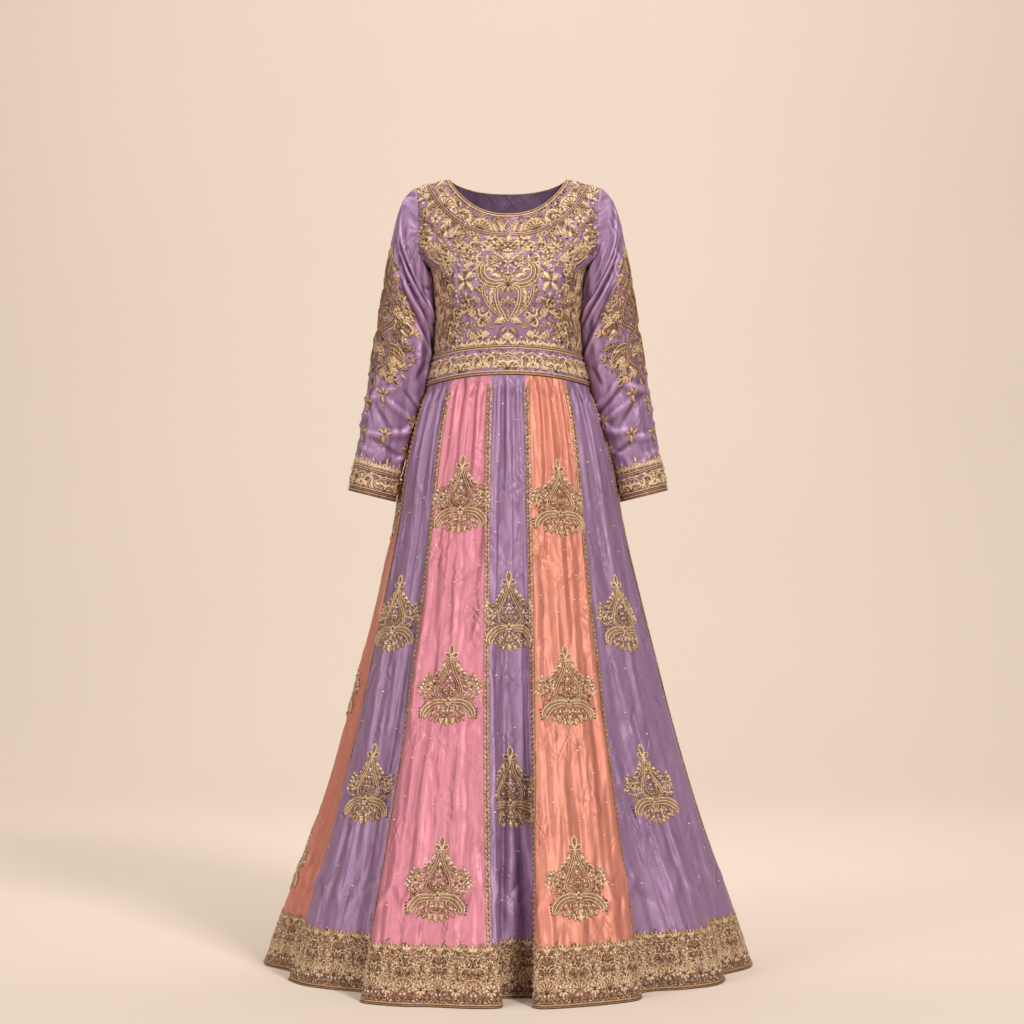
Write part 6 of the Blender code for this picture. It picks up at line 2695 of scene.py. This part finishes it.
KALI_DYES = {-3: Dye.CORAL, -1: Dye.ROSE, 1: Dye.CORAL, 3: Dye.CORAL, 5: Dye.ROSE}

# The sleeve's scattered drops, with their turns, and its sequins.
BUTIS = (
    (30, -430, 4), (66, -405, -6), (28, -488, -4), (78, -480, 8), (128, -440, 5), (130, -500, -5),
    (-30, -430, -4), (-34, -492, 6), (-86, -412, 5), (-88, -478, -6),
)
SLEEVE_SEQUINS = (
    (60, -120), (20, -90), (96, -150), (110, -60), (50, -400), (-40, -150), (-80, -230), (-60, -340),
)

# The parts of the motifs that gold fills, in the motifs' own places.
MOTIF_GROUND = (
    (0, 44), (9, 36), (20, 24), (30, 14), (46, 15), (54, 2), (52, -18), (44, -26), (52, -40), (50, -60),
    (38, -52), (30, -58), (16, -62), (0, -66), (-16, -62), (-30, -58), (-38, -52), (-50, -60), (-52, -40),
    (-44, -26), (-52, -18), (-54, 2), (-46, 15), (-30, 14), (-20, 24), (-9, 36),
)
SLEEVE_SPRAY = (
    (0, 112), (18, 88), (16, 60), (40, 46), (62, 54), (58, 24), (64, -2), (44, -22), (60, -34), (58, -60),
    (40, -84), (26, -100), (6, -104), (0, -118), (-6, -104), (-26, -100), (-40, -84), (-58, -60), (-60, -34),
    (-44, -22), (-64, -2), (-58, 24), (-62, 54), (-40, 46), (-16, 60), (-18, 88),
)

MOTIF_HEIGHTS = {
    Dye.LILAC: (690.0, 370.0),
    Dye.ROSE: (910.0, 556.0, 214.0),
    Dye.CORAL: (904.0, 554.0, 214.0),
}

# How far a panel's motifs lie to the right of its middle, from the top one down.
MOTIF_SHIFTS = {-2: (-8.0, -4.0), -1: (3.0, 7.0, 17.0), 1: (7.0, -5.0, -17.0), 2: (-16.0, -44.0)}

BODICE_CREASES = {
    Face.FRONT: table(
        Crease,
        (106, -176, 74, -35, 2, 6.3), (-104, -172, 70, 35, 2.2, 6.3), (96, -196, 60, -42, -1.7, 5.4),
        (-95, -193, 64, 44, -1.7, 5.4), (128, -238, 70, -20, 1.6, 7.2), (-130, -232, 76, 22, 1.4, 7.2),
        (60, -330, 46, 12, 1.2, 6.3), (-48, -335, 40, -10, 1.2, 6.3), (150, -318, 60, -8, 1.4, 7.2),
        (-152, -322, 56, 6, 1.4, 7.2), (72, -60, 60, 60, 1.1, 7.2), (-74, -58, 56, -62, 1.1, 7.2),
    ),
    Face.BACK: table(
        Crease,
        (100, -150, 90, -30, 1.9, 8.1), (-98, -156, 84, 32, 1.9, 8.1), (0, -300, 90, 2, 1.4, 9),
        (44, -330, 60, 8, -1.3, 7.2), (-48, -326, 64, -6, -1.3, 7.2), (130, -250, 80, -14, 1.6, 8.1),
        (-128, -246, 74, 12, 1.6, 8.1),
    ),
}

SLEEVE_CREASES = table(
    Crease,
    (70, -66, 84, -46, 5.5, 7), (86, -90, 120, -50, 8.5, 8.5), (95, -111, 130, -52, -8, 7.5),
    (103, -133, 142, -53, 9.5, 9), (109, -158, 138, -51, -8.5, 8), (112, -184, 150, -48, 9, 9.5),
    (117, -212, 142, -46, -8, 8.5), (122, -240, 128, -42, 7.5, 9), (62, -120, 74, -60, -4.8, 6.5),
    (58, -160, 82, -56, 4.4, 7), (150, -150, 90, -30, 6.5, 8), (152, -215, 110, -26, -6.5, 8),
    (124, -282, 92, -4, 5.7, 6.2), (104, -300, 74, -22, 4.2, 5.7), (134, -326, 80, 18, -4.6, 5.7),
    (88, -368, 96, -40, 4.6, 6.2), (116, -392, 84, -58, -4.2, 5.7), (64, -398, 76, 64, 4.4, 5.7),
    (99, -424, 88, -68, 5.3, 5.7), (128, -446, 74, 36, 5.7, 5.7), (72, -450, 80, -44, -4.6, 5.7),
    (104, -470, 92, 72, 5.3, 6.2), (58, -484, 74, 84, 4.6, 5.7), (88, -504, 96, -74, -4.4, 5.7),
    (122, -516, 70, 62, 5, 5.3), (36, -420, 84, 74, 4.2, 5.7), (10, -455, 76, 86, 4.4, 5.7),
    (34, -516, 80, -80, 3.9, 5.7), (148, -408, 84, -54, 4.6, 5.7), (-20, -475, 80, -84, 3.3, 4.6),
    (-70, -440, 90, -70, 4.3, 5.2), (-110, -465, 80, -56, 4.6, 4.6), (-90, -180, 134, 24, 8.5, 11.3),
    (-130, -230, 123, 20, -7.2, 10.3), (-60, -300, 80, 10, 3.7, 5.9), (-10, -380, 90, 84, 2.6, 5.9),
    (165, -380, 60, -70, 4.3, 4.6),
)

KALI_CREASES = (
    table(
        Crease,
        (-95, 900, 420, 0, 3.9, 11.5), (-40, 960, 330, 2, -3.3, 10.1), (20, 880, 460, -1, 4.2, 13),
        (75, 940, 360, 0, -3.6, 10.1), (118, 820, 520, 1, 3.3, 10.8), (-70, 560, 480, 3, 4.5, 14.4),
        (0, 470, 520, -2, -3.9, 15.8), (60, 520, 430, 2, 3.9, 13), (105, 420, 400, -3, -3.3, 11.5),
        (-115, 380, 420, 1, 3.6, 11.5), (110, 690, 60, 55, 2.1, 5), (-112, 640, 55, -50, 2.1, 5),
        (95, 560, 80, 35, 2.4, 5.8), (-60, 250, 220, 2, 3, 10.1), (50, 230, 190, -3, 2.7, 9.4),
    ),
    table(
        Crease,
        (-110, 940, 360, 1, 3.6, 10.1), (-62, 860, 480, -1, -3.9, 11.5), (-12, 930, 400, 1, 3.6, 10.8),
        (42, 850, 500, 2, -3.6, 12.2), (92, 900, 420, -1, 4.2, 10.8), (-100, 520, 430, 2, -3.6, 13),
        (-34, 560, 420, -2, 4.2, 14.4), (30, 430, 480, 2, 3.6, 13), (84, 560, 460, -1, -3.9, 13),
        (120, 380, 380, 2, 3.6, 10.1), (-90, 740, 76, -48, 2.2, 5.8), (70, 700, 66, 52, 2.1, 5),
        (-70, 300, 210, 4, 2.7, 9.4), (20, 250, 180, -2, 3, 10.1),
    ),
    table(
        Crease,
        (-80, 960, 320, -1, -3.6, 10.8), (-28, 880, 440, 1, 3.9, 11.5), (26, 950, 340, -1, -3.3, 9.4),
        (66, 870, 480, 2, 3.9, 11.5), (116, 930, 380, 0, -3.3, 10.1), (-116, 640, 500, 2, 3.6, 10.8),
        (-48, 470, 500, 3, -4.2, 14.4), (12, 600, 420, -3, 3.9, 13), (72, 420, 430, -2, 3.6, 13),
        (-90, 330, 300, -2, 3.3, 11.5), (104, 640, 74, 46, 2.2, 5), (-100, 560, 62, -44, 2, 5),
        (110, 260, 200, 3, 2.7, 8.6),
    ),
)


# Short creases just above the border, which is heavier than the silk.
HEM_PUCKERS = table(
    Crease,
    (-122, 184, 90, 34, 4, 7.4), (-86, 172, 70, -42, -4, 6.4), (-54, 190, 110, 22, 4.3, 8),
    (-20, 172, 80, -30, 4, 7.4), (12, 196, 120, 14, -4.3, 8), (42, 170, 70, 46, 3.6, 6.4),
    (72, 186, 100, -24, 4.3, 8), (104, 174, 80, 38, -4, 7.4), (130, 200, 110, -16, 4, 8),
)

# Deep folds of single panels.
DEEP_FOLDS = {
    0: table(
        Crease,
        (-25, 235, 520, 1, -9, 9), (0, 250, 560, 0, 6, 10), (23, 240, 500, -1, -10, 9),
        (66, 250, 560, 0, -9, 15), (-60, 240, 480, 0, -7, 14),
    ),
    2: table(
        Crease,
        (-38, 330, 420, 2, -9, 11), (2, 300, 460, 3, 8, 11), (40, 270, 420, 2, -9, 11),
        (84, 280, 420, 2, 7, 11),
    ),
    -2: table(
        Crease,
        (40, 300, 420, -2, -6, 13), (-8, 260, 400, -3, 5, 12), (-60, 300, 440, -2, -5, 12),
    ),
}

# Short folds where a panel is gathered to the waist.
GATHERS = table(
    Crease,
    (-128, 1050, 190, 1, 2.1, 11), (-101, 1076, 130, -1, -1.6, 10), (-70, 1040, 260, 0, 2.2, 12),
    (-38, 1064, 150, 1, -1.9, 10), (-8, 1046, 230, -1, 2.1, 11), (24, 1070, 140, 0, 1.8, 9),
    (55, 1036, 270, 1, -2.1, 12), (88, 1060, 170, -1, 2.1, 11), (121, 1046, 210, 0, 1.8, 10),
)

# Small creases where the weight of a motif pulls the silk round it.
MOTIF_PUCKERS = table(
    Crease,
    (-44, -88, 62, 38, 1.7, 5.5), (-27, -98, 54, 20, -1.5, 5), (-8, -104, 70, 6, 1.8, 5.5),
    (14, -99, 58, -14, 1.6, 5), (32, -94, 66, -30, -1.6, 5.5), (50, -84, 52, -44, 1.5, 5),
    (-72, 22, 58, -52, 1.5, 5.5), (-70, -14, 46, 78, 1.4, 5), (72, 10, 54, 66, 1.5, 5.5),
    (70, -30, 48, -60, -1.4, 5), (-40, 66, 60, -28, 1.6, 5.5), (38, 70, 66, 24, 1.7, 5.5),
    (20, 96, 52, 12, -1.3, 5), (-16, 100, 48, -8, 1.4, 5),
)


# ---- The studio ----


@dataclass(frozen=True)
class Lamp:
    """A square area light that faces a point."""

    name: str
    place: tuple[float, float, float]
    aim: tuple[float, float, float]
    size: float
    power: float
    colour: Colour = (1.0, 0.97, 0.93)

    def build(self) -> None:
        """Adds the light to the scene."""
        lamp = bpy.data.lights.new(self.name, "AREA")
        lamp.size = self.size
        lamp.energy = self.power
        lamp.color = self.colour
        holder = linked(self.name, lamp)
        away = Vector(self.aim) - Vector(self.place)
        holder.rotation_euler = away.to_track_quat("-Z", "Y").to_euler()
        holder.location = self.place


@dataclass(frozen=True)
class Studio:
    """A painted sweep under and behind the gown, soft lights and the camera."""

    floor: float = -1.4608
    half_width: float = 9.0
    front: float = -7.0
    bend_start: float = 2.9
    bend_radius: float = 2.7
    wall_top: float = 6.0
    paper: BackdropFinish = BackdropFinish("pale peach paper", (0.82, 0.695, 0.595))
    air: Colour = (1.0, 0.96, 0.92)
    air_strength: float = 0.15
    camera_place: tuple[float, float, float] = (0.0074, -5.0, -0.6187)
    lens: float = 94.475
    sensor: float = 36.0
    lamps: tuple[Lamp, ...] = (
        Lamp("key light", (2.45, -3.85, 2.6), (0.0, 0.0, -0.7), 1.0, 188.0),
        Lamp("fill light", (-3.0, -3.0, 0.9), (0.0, 0.0, -0.8), 2.0, 66.0),
        Lamp("top light", (0.0, -0.4, 2.8), (0.0, 0.0, -0.8), 2.2, 26.0),
        Lamp("wall light", (0.0, 1.5, 2.7), (0.0, 4.9, -0.2), 3.8, 138.0),
    )

    def build(self) -> None:
        """Builds the sweep, the lights and the camera."""
        self.sweep()
        for lamp in self.lamps:
            lamp.build()
        world = bpy.data.worlds.new("soft air")
        world.use_nodes = True
        background = world.node_tree.nodes["Background"]
        background.inputs["Color"].default_value = (*self.air, 1.0)
        background.inputs["Strength"].default_value = self.air_strength
        scene = bpy.context.scene
        scene.world = world
        scene.view_settings.view_transform = "Standard"
        camera = bpy.data.cameras.new("camera")
        camera.lens = self.lens
        camera.sensor_width = self.sensor
        scene.camera = linked("camera", camera)
        scene.camera.location = self.camera_place
        scene.camera.rotation_euler = (math.pi / 2, 0.0, 0.0)

    def sweep(self) -> None:
        """The paper sweep: a profile drawn out sideways."""
        shape = bmesh.new()
        profile = [(self.front, self.floor), (self.bend_start, self.floor)]
        for turn in np.radians(np.linspace(6, 90, 15)):
            y = self.bend_start + self.bend_radius * math.sin(turn)
            profile.append((y, self.floor + self.bend_radius * (1 - math.cos(turn))))
        profile.append((self.bend_start + self.bend_radius, self.wall_top))
        line = [shape.verts.new((-self.half_width, y, z)) for y, z in profile]
        edges = [shape.edges.new(pair) for pair in zip(line, line[1:])]
        drawn = bmesh.ops.extrude_edge_only(shape, edges=edges)
        moved = [item for item in drawn["geom"] if isinstance(item, bmesh.types.BMVert)]
        bmesh.ops.translate(shape, verts=moved, vec=(2 * self.half_width, 0, 0))
        bmesh.ops.recalc_face_normals(shape, faces=shape.faces[:])
        mesh = bpy.data.meshes.new("paper sweep")
        shape.to_mesh(mesh)
        shape.free()
        mesh.shade_smooth()
        mesh.materials.append(self.paper.made())
        piece = linked("paper_sweep", mesh)


def main() -> None:
    """Builds the gown and the studio."""
    logging.basicConfig(level=logging.INFO, format="%(message)s")
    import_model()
    Bodice().build()
    for side in Side:
        Sleeve(side).build()
    for number in range(-4, 6):
        SkirtPanel(number).build()
    Studio().build()


if __name__ == "__main__":
    main()
